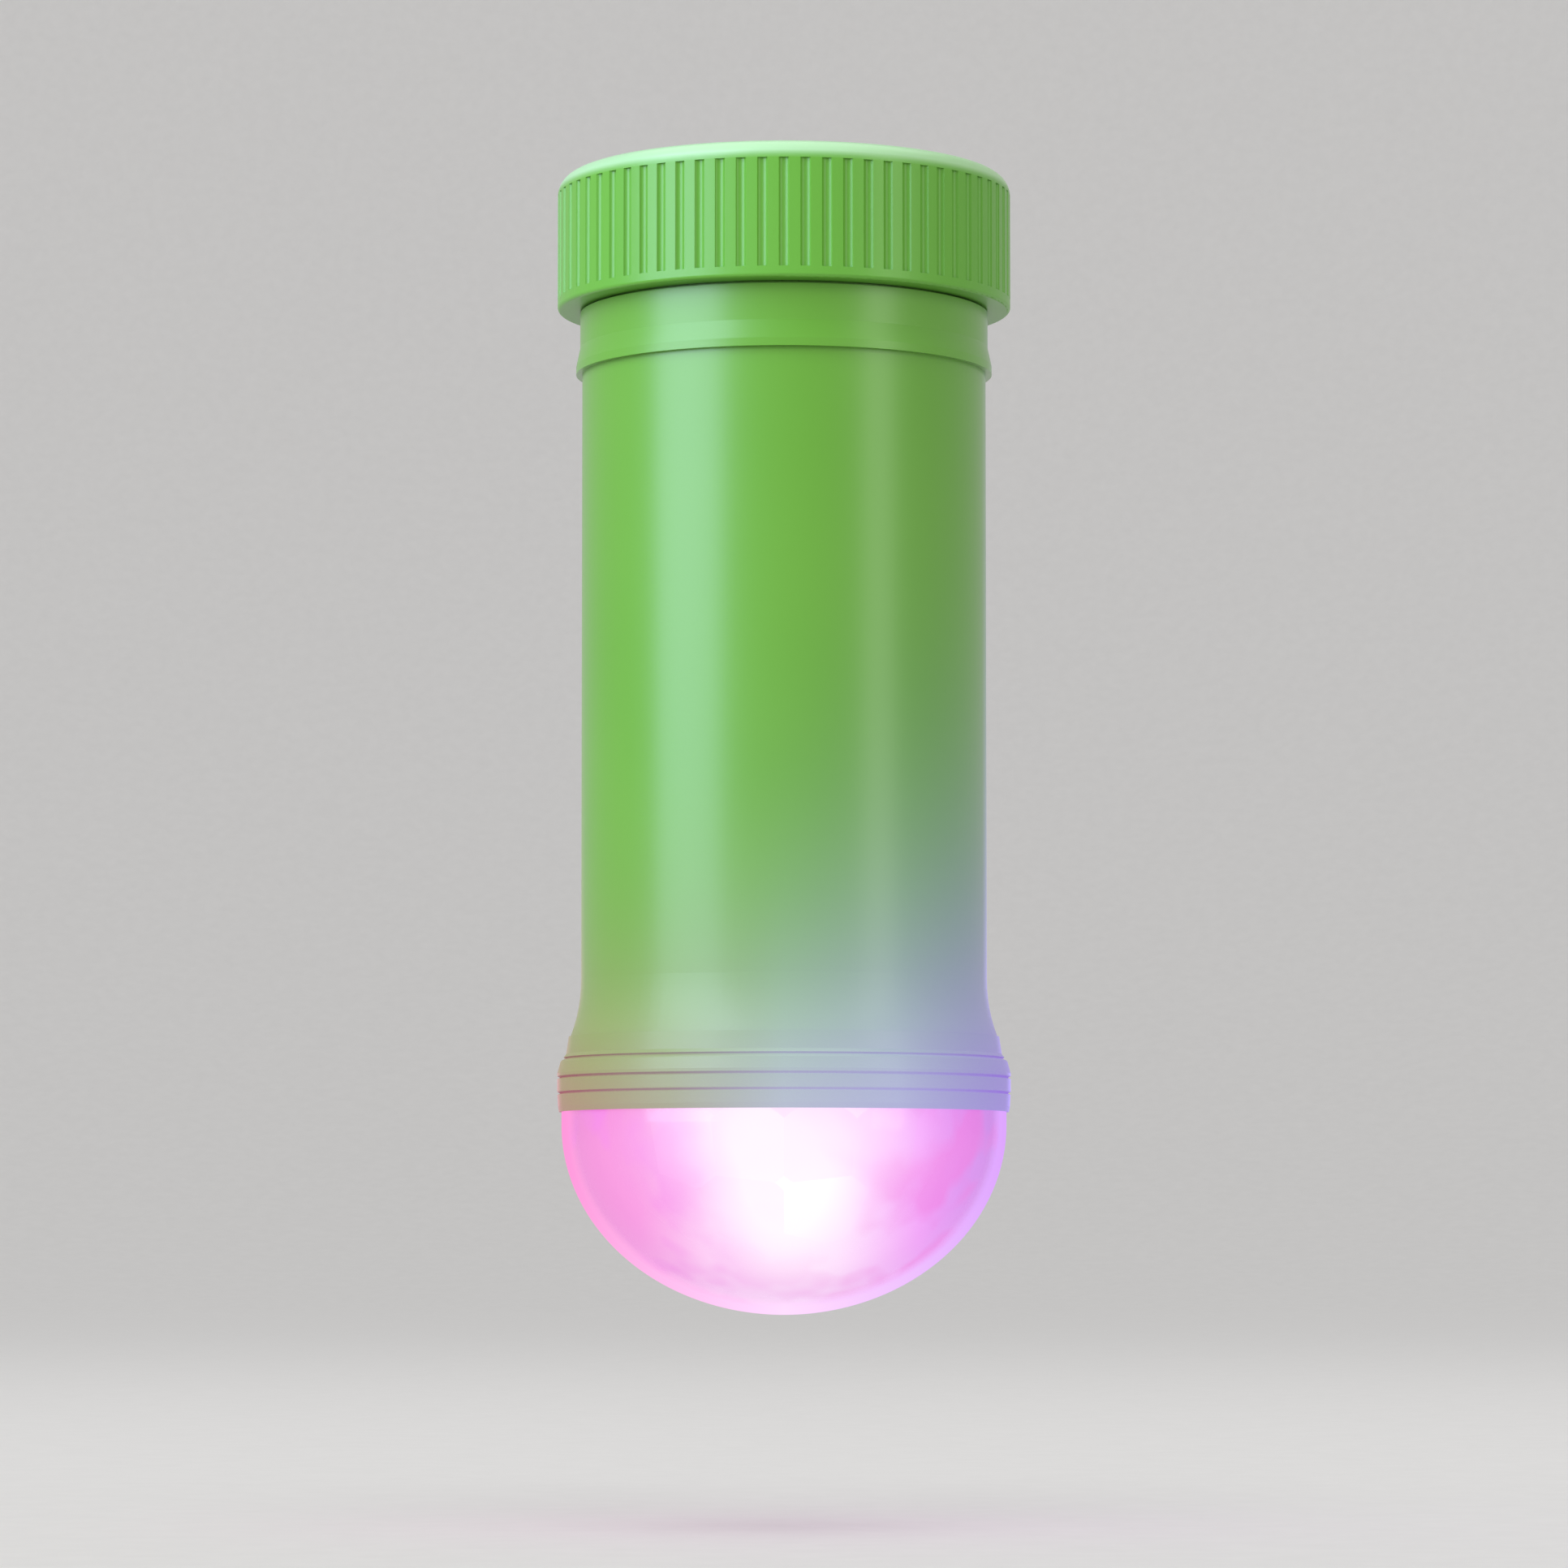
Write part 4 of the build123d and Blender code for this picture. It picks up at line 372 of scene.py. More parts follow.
def green_plastic(name, paint, under_glow_or_highlight_paint, gloss, glowing):
    """Satin green with a thin gloss. The other paint is the darker base under the painted glow, or else a
    painted highlight.
    """
    finish = Finish(name)
    cloud = finish.noise(CLOUDS_PER_METRE, detail=1.0)
    grain = finish.noise(SKIN_GRAINS_PER_METRE, detail=1.0)
    paler = [channel + more for channel, more in zip(paint, CLOUD_PALER)]
    colour = finish.mix(cloud, rgb(*paint), rgb(*paler))
    sockets = {
        "Roughness": cloud.between(*SATIN) + (grain - 0.5) * GRAIN_IN_ROUGHNESS,
        "Normal": finish.bump(grain, SKIN_GRAIN_DEPTH),
        "Specular IOR Level": 0.25,
        "Coat Weight": gloss,
        "Coat Roughness": 0.30,
        "Coat IOR": 1.5,
    }
    if glowing:
        side = lamp_side(finish.along("X"))
        height = finish.along("Z")
        fade = glow_share(side, height)
        # Under the painted glow the base colour turns darker and olive, so that the glow gives the hue
        # there.
        colour = finish.mix(fade * LIT_SHARE, colour, rgb(*under_glow_or_highlight_paint))
        sockets["Coat Weight"] = gloss * (1.0 - fade * GLOSS_LOST)
        glow = finish.mix(fade, (0, 0, 0, 1), finish.ramp(side, GLOW_COLOURS))
        tilted = finish.along("Z", finish.normal("True Normal"))
        upright = (1.0 - abs(tilted) * UPRIGHT_ONLY).clamped()
        edge = finish.facing().rising(*EDGE_LINE_RISE) * upright
        edge = edge * glow_share(side, height, EDGE_LINE_STRETCH)
        sockets["Emission Color"] = finish.mix(edge, glow, finish.ramp(side, EDGE_LINE), blend="ADD")
        sockets["Emission Strength"] = 1.0
    else:
        # Painted highlight: the slopes that face upwards are painted paler, as if lit from above; the flat
        # top is not.
        rise = finish.along("Z", finish.normal("Normal"))
        painted_highlight = rise.rising(*PAINTED_HIGHLIGHT_RISE) * ((FLAT_TOP - rise) * FLAT_TOP_EDGE).clamped()
        colour = finish.mix(painted_highlight * PAINTED_HIGHLIGHT_SHARE, colour, rgb(*under_glow_or_highlight_paint))
    sockets["Base Color"] = colour
    return finish.finished(finish.surface(sockets), lights_others=False)


# The case's second colour is the darker base under its painted glow.
case_green = green_plastic("case_green", (87, 148, 33), (82, 98, 39), gloss=0.9, glowing=True)
# The cap's second colour is the pale tone of its painted highlight.
cap_green = green_plastic("cap_green", (88, 153, 42), (190, 220, 184), gloss=0.5, glowing=False)
print("green finishes:", case_green.name, "and", cap_green.name)

# %% [markdown]
# The dome is a clear shell over a lit lens, so what one sees is mostly light. Real glass with a lamp
# inside takes thousands of samples to settle. Here the shell is more than half see-through where it faces
# the eye and closes towards its rim, where one looks along the wall, and it carries the glow that bounces
# about inside it. The glow is pink by the red lamp and violet by the blue one, with a white-hot core where
# the three mix. The core leans to the left towards the bezel, which is a shear: the place across is moved
# by a share of the height before its distance from the core is taken.

# %% The light inside the dome
DOME_COLOURS = (
    (0.00, (0.82, 0.15, 0.50, 1)),
    (0.18, (0.88, 0.24, 0.66, 1)),
    (0.38, (0.94, 0.50, 0.86, 1)),
    (0.62, (0.94, 0.54, 0.92, 1)),
    (0.80, (0.84, 0.28, 0.90, 1)),
    (1.00, (0.50, 0.16, 0.76, 1)),
)
RIM_COLOURS = ((0.0, (1.0, 0.30, 0.68, 1)), (0.5, (1.0, 0.70, 1.0, 1)), (1.0, (0.70, 0.36, 1.0, 1)))
CORE_ACROSS = LIGHT_X + 0.3 * MM
CORE_LEVEL = DOME_EDGE - 7.0 * MM
CORE_WIDE = 9.0 * MM
CORE_TALL = 12.5 * MM
CORE_LEAN = 0.5
CORE_FACING = 0.13
CORE_ALL_ROUND = 0.9
BLOTCHES_PER_METRE = 125.0
BLOTCH_RISE = (0.46, 7.0)
BLOTCH_COLOUR = (0.76, 0.06, 0.62, 1)
BLOTCH_SHARE = 0.6
SHELL_CORE_GAIN = 1.35
BAND_RISE = (0.42, 5.0)
BAND_SHARE = 0.16
BAND_COLOUR = (0.30, 0.05, 0.42, 1)
RIM_RISE = (0.65, 8.0)
WHITE_HOT = (1.0, 0.98, 1.0, 1)
SHELL_TINTS = ((0.10, 0.06, 0.10, 1), (0.14, 0.09, 0.14, 1))
SHELL_CLEAR = (1.0, 0.985, 1.0, 1)
SHELL_CLOSED = (0.38, 0.97)
SHELL_CLOSES = 2.2
SHELL_GLOW = 0.92
FULL_GLOW = 1.05


def core_share(across, height, facing):
    """1 in the white-hot core, which leans to the left as it goes up; a narrow upright one faces any eye."""
    off_level = height - CORE_LEVEL
    lean = off_level.at_least(0.0) * CORE_LEAN
    off_axis = (across - CORE_ACROSS + lean) / CORE_WIDE
    off_level = off_level / CORE_TALL
    off_level = off_level * off_level
    leaning = math.e ** -(off_axis * off_axis + off_level)
    upright = math.e ** -(facing / CORE_FACING + off_level)
    return leaning.at_least(upright * CORE_ALL_ROUND)


def clear_shell(name):
    """The dome's wall: see-through and glowing where it faces the eye, and a bright line at its rim."""
    finish = Finish(name)
    across = finish.along("X")
    side = lamp_side(across)
    blotch = finish.noise(BLOTCHES_PER_METRE, detail=2.0)
    patch = blotch.rising(*BLOTCH_RISE)
    facing = finish.facing()
    core = core_share(across, finish.along("Z"), facing)
    tint = finish.ramp(side, DOME_COLOURS)
    glow = finish.mix(patch, tint, finish.mix(BLOTCH_SHARE, tint, BLOTCH_COLOUR))
    glow = finish.mix((core * SHELL_CORE_GAIN).clamped(), glow, WHITE_HOT)
    glow = finish.mix(facing.rising(*BAND_RISE) * BAND_SHARE, glow, BAND_COLOUR)
    shell = finish.surface({
        "Base Color": finish.mix(patch, *SHELL_TINTS),
        "Roughness": blotch.between(0.12, 0.22),
        "Emission Color": glow,
        "Emission Strength": SHELL_GLOW,
        "Coat Weight": 0.25,
        "Coat Roughness": 0.10,
    })
    clear = finish.node("ShaderNodeBsdfTransparent", sockets={"Color": SHELL_CLEAR})
    closing = (facing * SHELL_CLOSES).clamped().between(*SHELL_CLOSED)
    wall = finish.node("ShaderNodeMixShader", sockets={0: closing, 1: clear, 2: shell})
    bright = finish.surface({
        "Base Color": (0, 0, 0, 1),
        "Specular IOR Level": 0.0,
        "Emission Color": finish.ramp(side, RIM_COLOURS),
        "Emission Strength": FULL_GLOW,
    })
    rim = facing.rising(*RIM_RISE)
    whole = finish.node("ShaderNodeMixShader", sockets={0: rim, 1: wall, 2: bright})
    return finish.finished(whole, lights_others=False)


dome_clear = clear_shell("dome_clear")
print("the shell of the dome:", dome_clear.name)

# %% [markdown]
# Behind the shell a lens with many flats throws the pattern on the ground. Each flat sends another part of
# the light to the eye, so each has a brightness of its own. A noise does this when it reads the way that
# the surface faces and not the place: all of one flat then gets the same value, up to its sharp edge.

# %% The faceted lens
FACETS_APART = 2.6
FACET_RISE = (0.35, 3.0)
LENS_CORE_GAIN = 1.15
LENS_HOT = (1.0, 0.97, 1.0, 1)
LENS_DIM = (0.25, 0.02, 0.22, 1)
LENS_TINTS = ((0.2, 0.12, 0.2, 1), (0.3, 0.2, 0.3, 1))


def lit_lens(name):
    """The faceted lens: every flat is a little brighter or darker, by the way that it faces."""
    finish = Finish(name)
    across = finish.along("X")
    facet = finish.noise(FACETS_APART, detail=0.0, vector=finish.normal("True Normal")).rising(*FACET_RISE)
    tint = finish.ramp(lamp_side(across), DOME_COLOURS)
    core = core_share(across, finish.along("Z"), finish.facing())
    light = finish.mix((core * LENS_CORE_GAIN).clamped(), tint, LENS_HOT)
    shaded = finish.mix(facet.between(0.30, 1.0), finish.mix(0.5, LENS_DIM, tint), light)
    return finish.finished(finish.surface({
        "Base Color": finish.mix(facet, *LENS_TINTS),
        "Roughness": facet.between(0.10, 0.16),
        "Emission Color": shaded,
        "Emission Strength": FULL_GLOW,
    }))


lens_lit = lit_lens("lens_lit")
print("the lens behind it:", lens_lit.name)

# %% [markdown]
# The clamp, the shoe and the knob are black moulded plastic with the fine spark-eroded grain such parts
# have, and the liners that grip the bar are soft rubber. Both are nearly the same black: what tells them
# apart is how they scatter light, so the rubber is rougher and its grain is softer.


# %% Black plastic and rubber
MOULD_CLOUDS_PER_METRE = 60.0


def grained(name, dark, light, roughness, grain_per_metre, grain_depth, coat=0.0):
    """A finish with a fine even grain: two close colours, a roughness range and a grain."""
    finish = Finish(name)
    cloud = finish.noise(MOULD_CLOUDS_PER_METRE)
    grain = finish.noise(grain_per_metre, detail=2.0)
    return finish.finished(finish.surface({
        "Base Color": finish.mix(cloud * 0.6 + grain * 0.4, dark, light),
        "Roughness": (grain * 0.5 + cloud * 0.5).between(*roughness),
        "Normal": finish.bump(grain, grain_depth),
        "Coat Weight": coat,
    }))


black_plastic = grained(
    "black_plastic", rgb(30, 31, 33), rgb(41, 42, 44), (0.42, 0.56), 1900.0, 0.03 * MM
)
carrier_plastic = grained(
    "carrier_plastic", rgb(36, 36, 40), rgb(48, 48, 52), (0.35, 0.45), 1500.0, 0.01 * MM
)
soft_rubber = grained(
    "soft_rubber", rgb(22, 22, 22), rgb(33, 33, 33), (0.72, 0.9), 1100.0, 0.02 * MM
)
button_rubber = grained(
    "button_rubber", rgb(86, 158, 60), rgb(96, 168, 70), (0.5, 0.62), 2100.0, 0.015 * MM
)
white_plastic = grained(
    "white_plastic", rgb(222, 219, 210), rgb(236, 234, 227), (0.35, 0.48), 1600.0, 0.008 * MM
)
print("moulded finishes made")

# %% [markdown]
# The screws, pins and contacts are plated steel and brass. Metal that has been drawn or rolled shows fine
# lines along it, so the noise is stretched hard in one direction before it is used.


# %% Metal parts
DRAWN_LINE_DEPTH = 0.004 * MM
METAL_CLOUDS_PER_METRE = 150.0


def metal(name, dark, light, roughness, stretch=(900.0, 900.0, 60.0)):
    """Metal with fine lines drawn along Z, between two close colours."""
    finish = Finish(name)
    along = finish.node("ShaderNodeMapping", sockets={"Vector": finish.place(), "Scale": stretch})
    lines = finish.noise(1.0, vector=along)
    cloud = finish.noise(METAL_CLOUDS_PER_METRE)
    return finish.finished(finish.surface({
        "Base Color": finish.mix(lines * 0.5 + cloud * 0.5, dark, light),
        "Metallic": 1.0,
        "Roughness": lines.between(*roughness),
        "Normal": finish.bump(lines, DRAWN_LINE_DEPTH),
    }))


plated_steel = metal("plated_steel", rgb(150, 152, 156), rgb(184, 185, 188), (0.26, 0.42))
steel_can = metal("steel_can", rgb(186, 187, 188), rgb(212, 212, 211), (0.28, 0.4), (300.0, 300.0, 30.0))
bright_brass = metal("bright_brass", rgb(196, 158, 88), rgb(222, 188, 116), (0.2, 0.34))
mirror_plating = metal("mirror_plating", rgb(228, 229, 232), rgb(242, 242, 244), (0.04, 0.1))
print("metal finishes made")


# %% [markdown]
# The small boards carry a green lacquer, the three lamps are tinted clear beads that glow in their own
# colours, and the cells wear a plain film sleeve. They sit inside the closed case, where they are seen
# only when it is taken apart, so each gets one honest finish and no more.


# %% Boards, lamps and cells
BEAD_CLOUDS_PER_METRE = 300.0
BEAD_GLOW = 3.0


def lamp_bead(name, colour):
    """The clear tinted head of a lamp, lit in its own colour."""
    finish = Finish(name)
    cloud = finish.noise(BEAD_CLOUDS_PER_METRE)
    return finish.finished(finish.surface({
        "Base Color": finish.mix(cloud, colour, (1, 1, 1, 1)),
        "Roughness": cloud.between(0.08, 0.16),
        "Emission Color": finish.mix(cloud * 0.3, colour, (1, 1, 1, 1)),
        "Emission Strength": BEAD_GLOW,
        "Coat Weight": 0.6,
    }))


board_lacquer = grained(
    "board_lacquer", rgb(24, 84, 46), rgb(34, 102, 58), (0.22, 0.34), 700.0, 0.02 * MM, coat=0.3
)
cell_film = grained(
    "cell_film", rgb(58, 62, 70), rgb(70, 74, 82), (0.2, 0.32), 400.0, 0.01 * MM, coat=0.4
)
bead_red = lamp_bead("bead_red", (1.0, 0.10, 0.08, 1))
bead_green = lamp_bead("bead_green", (0.12, 1.0, 0.18, 1))
bead_blue = lamp_bead("bead_blue", (0.10, 0.16, 1.0, 1))

FINISH_OF_SLOT = {
    "green_moulding": case_green,
    "green_button": button_rubber,
    "clear_plastic": dome_clear,
    "lens_plastic": lens_lit,
    "black_rubber": soft_rubber,
    "black_moulding": black_plastic,
    "white_moulding": white_plastic,
    "black_carrier": carrier_plastic,
    "mirror_finish": mirror_plating,
    "circuit_board": board_lacquer,
    "lamp_red": bead_red,
    "lamp_green": bead_green,
    "lamp_blue": bead_blue,
    "steel": plated_steel,
    "steel_case": steel_can,
    "brass": bright_brass,
    "cell_sleeve": cell_film,
}


def dress(node, material):
    """Give a solid its finish: the mesh stays as it is, only its material slot changes."""
    mesh = frame["nodes"][node].data
    mesh.materials.clear()
    mesh.materials.append(material)


for subpart in frame["record"]["subparts"]:
    dress(subpart["node"], FINISH_OF_SLOT[subpart["material_slot"]])
dress("screw_cap", cap_green)

# %% [markdown]
# Screw threads follow a rule, so Geometry Nodes grow them: a spiral curve carries a small trapezium all
# the way round. Its two parallel sides lie along the radius, one above the other, so what comes out is a
# thin fin with a lower and an upper width. The sweep turns the section over, so its bottom side ends up
# above. The same tree makes the coarse fin on the neck, the one inside the cap and the fine one on the
# clamp's screw, each with its own sizes. A modifier's inputs are set by the sockets' identifiers, and the
# result is turned into a plain mesh, so that nothing is left to work out later.


# %% A Geometry Nodes tree that winds a thread
def new_tree(name, inputs):
    """An empty Geometry Nodes tree with named inputs; returns it with its input and output nodes."""
    tree = bpy.data.node_groups.new(name, "GeometryNodeTree")
    for label, kind in inputs:
        tree.interface.new_socket(label, in_out="INPUT", socket_type=kind)
    tree.interface.new_socket("Geometry", in_out="OUTPUT", socket_type="NodeSocketGeometry")
    return tree, tree.nodes.new("NodeGroupInput"), tree.nodes.new("NodeGroupOutput")


def join_up(tree, start, out, geometry):
    """End a tree: real geometry in place of instances, then the material that was asked for."""
    real = tree.nodes.new("GeometryNodeRealizeInstances")
    paint = tree.nodes.new("GeometryNodeSetMaterial")
    tree.links.new(geometry, real.inputs["Geometry"])
    tree.links.new(real.outputs["Geometry"], paint.inputs["Geometry"])
    tree.links.new(start.outputs["Material"], paint.inputs["Material"])
    tree.links.new(paint.outputs["Geometry"], out.inputs["Geometry"])


def thread_tree():
    """The tree that sweeps a trapezium along a spiral, with its parallel sides level all the way."""
    tree, start, out = new_tree("wound_thread", [
        ("Turns", "NodeSocketFloat"),
        ("Pitch", "NodeSocketFloat"),
        ("Radius", "NodeSocketFloat"),
        ("Thickness", "NodeSocketFloat"),
        ("Upper Width", "NodeSocketFloat"),
        ("Lower Width", "NodeSocketFloat"),
        ("Steps Per Turn", "NodeSocketInt"),
        ("Material", "NodeSocketMaterial"),
    ])
    rise = tree.nodes.new("ShaderNodeMath")
    rise.operation = "MULTIPLY"
    spiral = tree.nodes.new("GeometryNodeCurveSpiral")
    upright = tree.nodes.new("GeometryNodeSetCurveNormal")
    upright.mode = "Z_UP"
    section = tree.nodes.new("GeometryNodeCurvePrimitiveQuadrilateral")
    section.mode = "TRAPEZOID"
    section.inputs["Offset"].default_value = 0.0
    swept = tree.nodes.new("GeometryNodeCurveToMesh")
    swept.inputs["Fill Caps"].default_value = True
    for source, output, target, entry in (
        (start, "Turns", rise, 0),
        (start, "Pitch", rise, 1),
        (start, "Steps Per Turn", spiral, "Resolution"),
        (start, "Turns", spiral, "Rotations"),
        (start, "Radius", spiral, "Start Radius"),
        (start, "Radius", spiral, "End Radius"),
        (rise, 0, spiral, "Height"),
        (start, "Thickness", section, "Height"),
        (start, "Upper Width", section, "Bottom Width"),
        (start, "Lower Width", section, "Top Width"),
        (spiral, "Curve", upright, "Curve"),
        (upright, "Curve", swept, "Curve"),
        (section, "Curve", swept, "Profile Curve"),
    ):
        tree.links.new(source.outputs[output], target.inputs[entry])
    join_up(tree, start, out, swept.outputs["Mesh"])
    return tree


def low_corner(mesh):
    """The lowest X, Y and Z of a mesh."""
    return [min(vertex.co[axis] for vertex in mesh.vertices) for axis in range(3)]


def grown(name, tree, values, place):
    """Run a tree with these inputs and keep the result as a plain mesh, put in its place."""
    seed_mesh = bpy.data.meshes.new(name + "_seed")
    holder = bpy.data.objects.new(name + "_seed", seed_mesh)
    bpy.context.scene.collection.objects.link(holder)
    modifier = holder.modifiers.new("grow", "NODES")
    modifier.node_group = tree
    asked = [item for item in tree.interface.items_tree if item.in_out == "INPUT"]
    identifiers = {item.name: item.identifier for item in asked}
    for label, value in values.items():
        modifier[identifiers[label]] = value
    shown = holder.evaluated_get(bpy.context.evaluated_depsgraph_get())
    mesh = bpy.data.meshes.new_from_object(shown)
    bpy.data.objects.remove(holder)
    mesh.transform(place)
    mesh.name = name
    piece = bpy.data.objects.new(name, mesh)
    bpy.context.scene.collection.objects.link(piece)
    print(name, len(mesh.vertices), "points, from", [round(1000 * v, 2) for v in low_corner(mesh)])
    return piece


# %% [markdown]
# The cap screws onto the tube's neck. Two fins do it: one wound round the neck and one wound inside the
# cap, half a pitch apart, so that they don't meet as the cap turns and rises. The neck's has its wide face
# above, and the cap's has it below. Each is wider than the gap between neck and cap, so its edge also runs
# a little way inside the wall opposite, where it isn't seen. The fin on the neck belongs to the tube and
# stays with it, and the other rides on the cap.

# %% The thread of the cap and the neck
CAP_PITCH = 3.0 * MM
NECK_R = 22.6 * MM
CAP_BORE_R = 22.9 * MM
FIN_TURNS = 2.1
FIN_THICKNESS = 0.17 * MM
FIN_WIDE_FACE = 1.1 * MM
FIN_NARROW_FACE = 0.5 * MM
FIN_OFF_WALL = 0.065 * MM
NECK_THREAD_FOOT = cap_low.z + 3.4 * MM
STEPS_PER_TURN = 96


def fin_values(turns, pitch, radius, thickness, upper, lower, material):
    """The inputs of one fin under the names that the tree gives them."""
    return {
        "Turns": turns, "Pitch": pitch, "Radius": radius, "Thickness": thickness,
        "Upper Width": upper, "Lower Width": lower, "Steps Per Turn": STEPS_PER_TURN, "Material": material,
    }


wound_thread = thread_tree()
neck_thread = grown(
    "neck_thread",
    wound_thread,
    fin_values(
        turns=FIN_TURNS, pitch=CAP_PITCH, radius=NECK_R + FIN_OFF_WALL, thickness=FIN_THICKNESS,
        upper=FIN_WIDE_FACE, lower=FIN_NARROW_FACE, material=case_green,
    ),
    Matrix.Translation((LIGHT_X, LIGHT_Y, NECK_THREAD_FOOT)),
)
cap_thread = grown(
    "cap_thread",
    wound_thread,
    fin_values(
        turns=FIN_TURNS, pitch=CAP_PITCH, radius=CAP_BORE_R - FIN_OFF_WALL, thickness=FIN_THICKNESS,
        upper=FIN_NARROW_FACE, lower=FIN_WIDE_FACE, material=cap_green,
    ),
    Matrix.Translation((LIGHT_X, LIGHT_Y, NECK_THREAD_FOOT + CAP_PITCH / 2)),
)
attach(neck_thread, "light_body")
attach(cap_thread, "cap")

# %% [markdown]
# The clamp is closed by a machine screw, so its shank shows a thread: the plain solid is replaced by a
# thinner core, chamfered at its tip, with a fin wound on it. The fin's wide face stands 0.17 mm out from
# the solid's side.

# %% The threaded clamp screw
SCREW_PITCH = 0.8 * MM
SCREW_DEPTH = 0.36 * MM
SCREW_FIN_THICKNESS = 0.36 * MM
SCREW_FIN_WIDE_FACE = 0.72 * MM
SCREW_FIN_NARROW_FACE = 0.12 * MM
SCREW_FIN_UNDER_SIDE = 0.19 * MM
TIP_CHAMFER = 0.6 * MM
screw_low, screw_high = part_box("clamp_screw")
SCREW_R = (screw_high.x - screw_low.x) / 2
SCREW_LENGTH = screw_high.y - screw_low.y
SCREW_AXIS = Vector((middle("clamp_screw").x, 0, middle("clamp_screw").z))


def turned(outline, steps=48):
    """A surface turned round Z from an outline of radius and height, closed where it meets the axis."""
    points, rings, faces = [], [], []
    for radius, height in outline:
        if radius == 0:
            rings.append([len(points)] * steps)
            points.append((0, 0, height))
        else:
            rings.append(range(len(points), len(points) + steps))
            for turn in (math.tau * step / steps for step in range(steps)):
                points.append((radius * math.cos(turn), radius * math.sin(turn), height))
    for lower, upper in zip(rings, rings[1:]):
        for step in range(steps):
            after = (step + 1) % steps
            corners = (lower[step], lower[after], upper[after], upper[step])
            faces.append([corner for n, corner in enumerate(corners) if corner != corners[n - 1]])
    return points, faces


core_r = SCREW_R - SCREW_DEPTH
core_outline = [
    (0, 0), (core_r - TIP_CHAMFER, 0), (core_r, TIP_CHAMFER), (core_r, SCREW_LENGTH), (0, SCREW_LENGTH),
]
core_points, core_faces = turned(core_outline)
core_mesh = bpy.data.meshes.new("screw_core")
core_mesh.from_pydata(core_points, [], core_faces)
core_mesh.materials.append(plated_steel)
lay_down = Matrix.Rotation(-math.pi / 2, 4, "X")
along_y = Matrix.Translation((SCREW_AXIS.x, screw_low.y, SCREW_AXIS.z)) @ lay_down
core_mesh.transform(along_y)
screw_core = bpy.data.objects.new("screw_core", core_mesh)
bpy.context.scene.collection.objects.link(screw_core)
screw_ridge = grown(
    "screw_ridge",
    wound_thread,
    fin_values(
        turns=(SCREW_LENGTH - TIP_CHAMFER - SCREW_PITCH) / SCREW_PITCH, pitch=SCREW_PITCH,
        radius=SCREW_R - SCREW_FIN_UNDER_SIDE, thickness=SCREW_FIN_THICKNESS,
        upper=SCREW_FIN_WIDE_FACE, lower=SCREW_FIN_NARROW_FACE, material=plated_steel,
    ),
    along_y @ Matrix.Translation((0, 0, TIP_CHAMFER)),
)
for piece in (screw_core, screw_ridge):
    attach(piece, "clamp_screw")
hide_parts("clamp_screw")
print("screw", round(1000 * SCREW_LENGTH, 1), "mm long,", round(2000 * SCREW_R, 1), "mm across as a solid")

# %% [markdown]
# Two coil springs work in this light: one under the button and one behind the mount's release tab, which
# tilts. A rigid solid would poke through the part that presses it. Here each spring is replaced by a copy
# of its own mesh, with its doubled points welded, which rides on the body it belongs to and keeps its full
# length as the joint moves.

# %% The springs, copied onto their bodies
MERGE_WITHIN = 0.0005 * MM


def springy(name, node, body):
    """A spring's own mesh as a new piece, welded and hung on its body; the solid is hidden."""
    mesh = frame["nodes"][node].data.copy()
    mesh.name = name
    welded = bmesh.new()
    welded.from_mesh(mesh)
    bmesh.ops.remove_doubles(welded, verts=welded.verts, dist=MERGE_WITHIN)
    welded.to_mesh(mesh)
    welded.free()
    piece = bpy.data.objects.new(name, mesh)
    bpy.context.scene.collection.objects.link(piece)
    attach(piece, body)
    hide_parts(node)
    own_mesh(piece)


springy("button_coil", "button_spring", "cap")
springy("tab_coil", "tab_spring", "light_body")

# %% [markdown]
# The light is judged from every side, so the studio is a round bowl of pale paper: a flat floor that runs
# up into a wall in one curve all the way round. Whichever way a camera looks, no edge or horizon shows.

# %% The paper bowl
FLOOR_LEVEL = cad_low.z - 24 * MM
FLOOR_R = 1.5
SWEEP_R = 0.9
WALL_HEIGHT = 1.8
SWEEP_STEPS = 24
BOWL_SIDES = 96
FIBRES_PER_METRE = 200.0
PAPER_GLOW = 0.50


def paper_bowl():
    """The floor, the curve and the wall as one surface, turned from the wall's top to the middle."""
    outline = [(FLOOR_R + SWEEP_R, FLOOR_LEVEL + WALL_HEIGHT)]
    for step in range(SWEEP_STEPS + 1):
        turn = math.pi / 2 * step / SWEEP_STEPS
        outline.append((
            FLOOR_R + SWEEP_R * math.cos(turn),
            FLOOR_LEVEL + SWEEP_R - SWEEP_R * math.sin(turn),
        ))
    outline.append((0, FLOOR_LEVEL))
    points, faces = turned(outline, BOWL_SIDES)
    mesh = bpy.data.meshes.new("paper_bowl")
    mesh.from_pydata(points, [], faces)
    mesh.shade_smooth()
    bowl = bpy.data.objects.new("paper_bowl", mesh)
    bpy.context.scene.collection.objects.link(bowl)
    return bowl


def lit_paper(name):
    """Matt paper lit evenly from behind, so that the wall looks as pale from any side."""
    finish = Finish(name)
    fibre = finish.noise(FIBRES_PER_METRE)
    tone = finish.mix(fibre, rgb(197, 196, 195), rgb(203, 202, 201))
    return finish.finished(finish.surface({
        "Base Color": tone,
        "Roughness": fibre.between(0.8, 0.9),
        "Normal": finish.bump(fibre, 0.02 * MM),
        "Emission Color": tone,
        "Emission Strength": PAPER_GLOW,
    }), lights_others=False)


studio_floor = paper_bowl()
studio_floor.data.materials.append(lit_paper("lit_paper"))
print("floor at", round(1000 * FLOOR_LEVEL, 1), "mm")

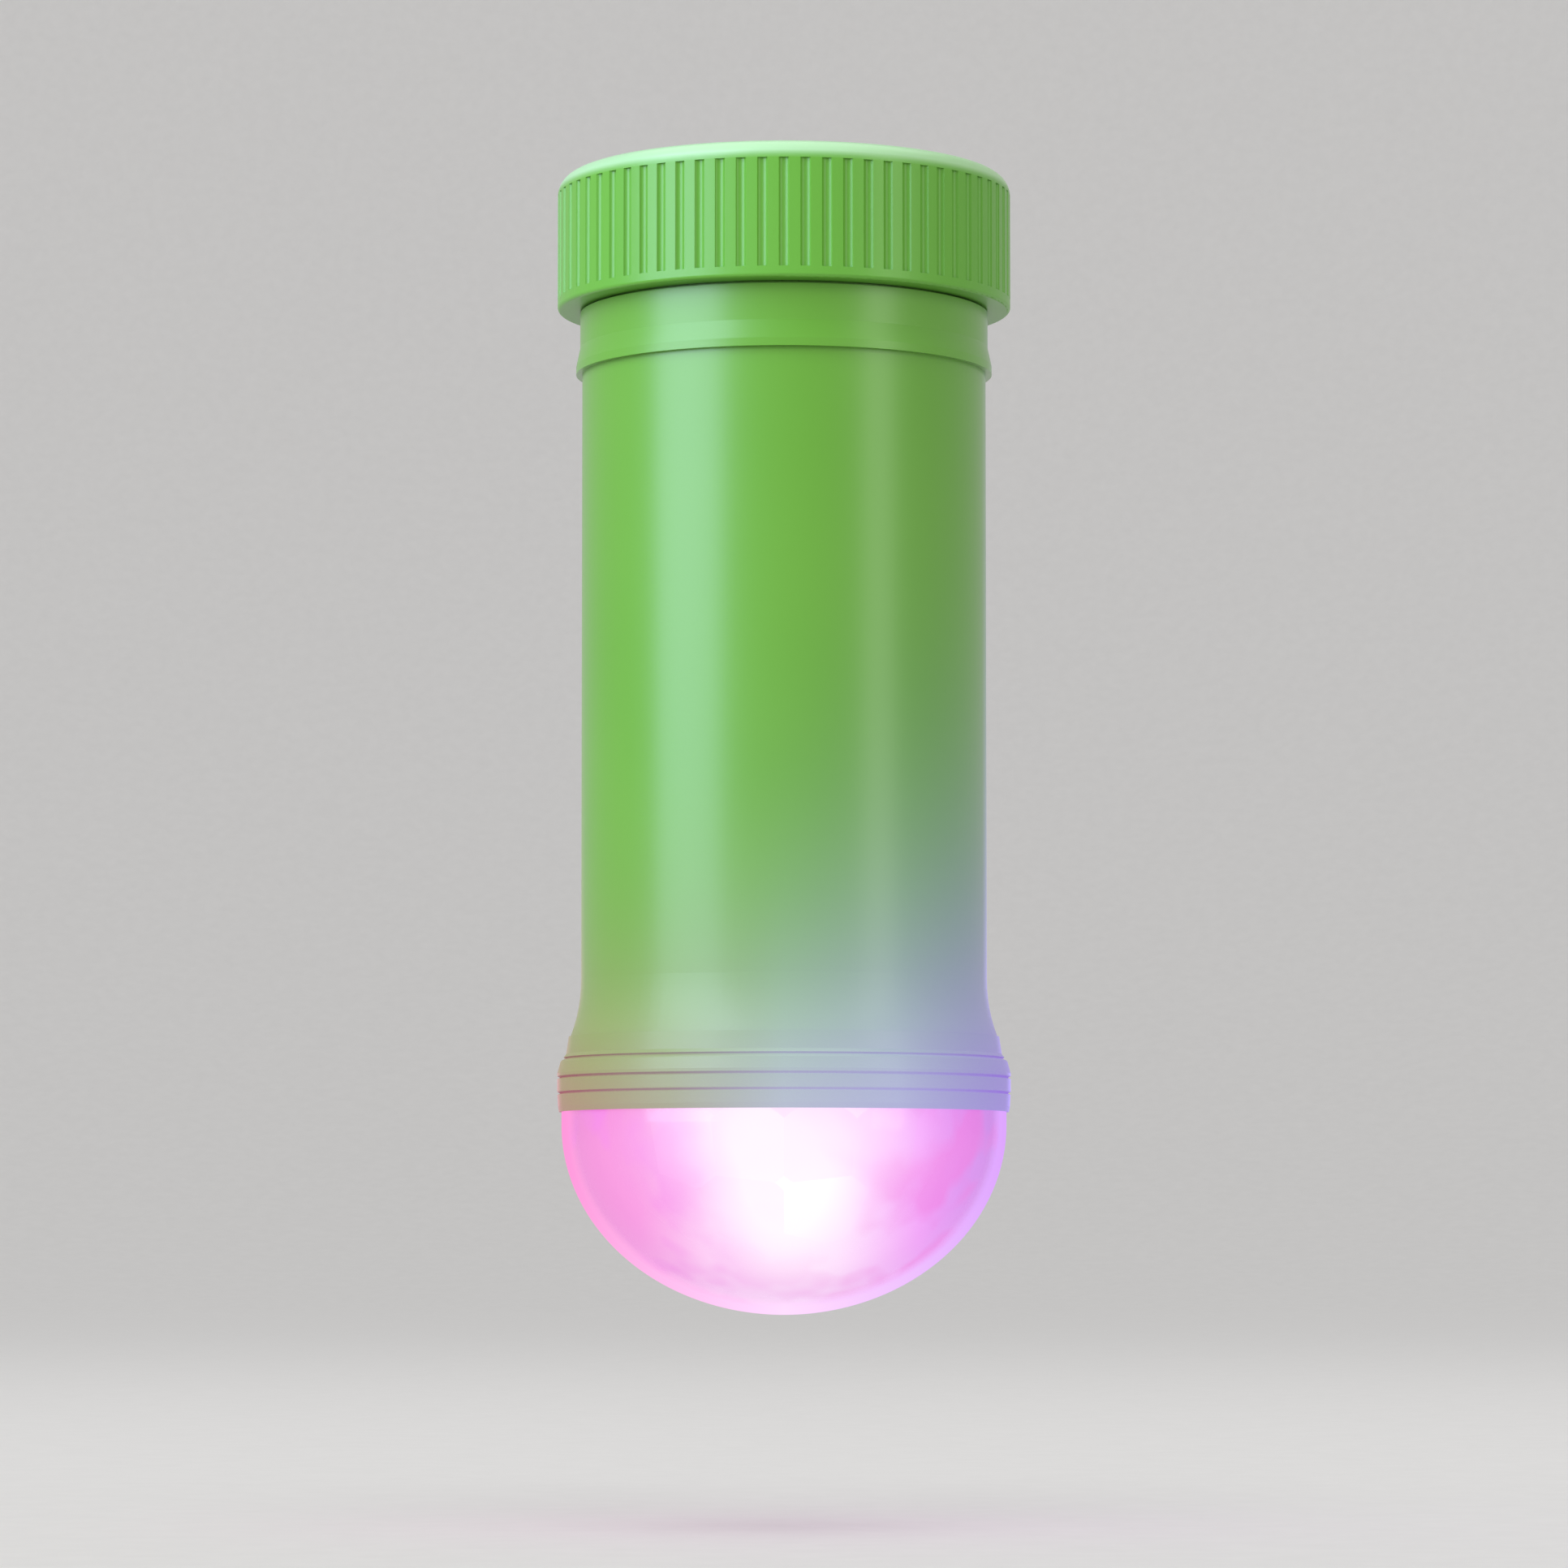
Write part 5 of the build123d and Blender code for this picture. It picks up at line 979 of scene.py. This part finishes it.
# %% [markdown]
# An area light is a flat soft box. Its place is given here as a direction round the light and a height,
# because that is how one thinks about a highlight: a lamp 55 degrees round to the left draws its stripe
# 27 degrees round the tube, where the surface faces half way between the lamp and the eye. No box shows
# itself to the camera. All but the top one would also draw bright patches with hard edges on the paper, so
# light linking keeps them off it: a lamp's receiver collection can name an object that it doesn't light.


# %% The soft lights
def soft_box(name, azimuth, height, distance, width, tall, power, colour=(1, 1, 1)):
    """An area light at a direction round the light's axis, in degrees from the front, turned to face it."""
    data = bpy.data.lights.new(name, "AREA")
    data.shape = "RECTANGLE"
    data.size = width
    data.size_y = tall
    data.energy = power
    data.color = colour
    lamp = bpy.data.objects.new(name, data)
    turn = math.radians(azimuth)
    target = Vector((LIGHT_X, LIGHT_Y, 0))
    lamp.location = target + Vector((math.sin(turn) * distance, -math.cos(turn) * distance, height))
    lamp.rotation_euler = (target - lamp.location).to_track_quat("-Z", "Y").to_euler()
    lamp.visible_camera = False
    bpy.context.scene.collection.objects.link(lamp)
    return lamp


left_box = soft_box(
    "left_box", azimuth=-55, height=0.32, distance=0.62, width=0.54, tall=0.80, power=8.4,
    colour=(0.60, 0.74, 1.0),
)
right_box = soft_box(
    "right_box", azimuth=54, height=0.16, distance=0.80, width=0.26, tall=0.80, power=1.9,
    colour=(0.90, 1.0, 0.84),
)
front_fill = soft_box(
    "front_fill", azimuth=-14, height=0.42, distance=0.95, width=0.80, tall=0.45, power=2.0,
    colour=(1.0, 0.98, 0.94),
)
soft_box("top_box", azimuth=180, height=0.80, distance=0.02, width=0.90, tall=1.10, power=4.0)
front_fill.visible_glossy = False
off_the_paper = bpy.data.collections.new("off_the_paper")
off_the_paper.objects.link(studio_floor)
off_the_paper.collection_objects[0].light_linking.link_state = "EXCLUDE"
for lamp in (left_box, right_box, front_fill):
    lamp.light_linking.receiver_collection = off_the_paper

AIR_COLOUR = (0.90, 0.91, 0.93, 1)
AIR_STRENGTH = 0.30
world = bpy.data.worlds.new("studio_air")
bpy.context.scene.world = world
world.use_nodes = True
world.node_tree.nodes["Background"].inputs["Color"].default_value = AIR_COLOUR
world.node_tree.nodes["Background"].inputs["Strength"].default_value = AIR_STRENGTH
bpy.context.scene.view_settings.view_transform = "Standard"
print("lights:", [data.name for data in bpy.data.lights])
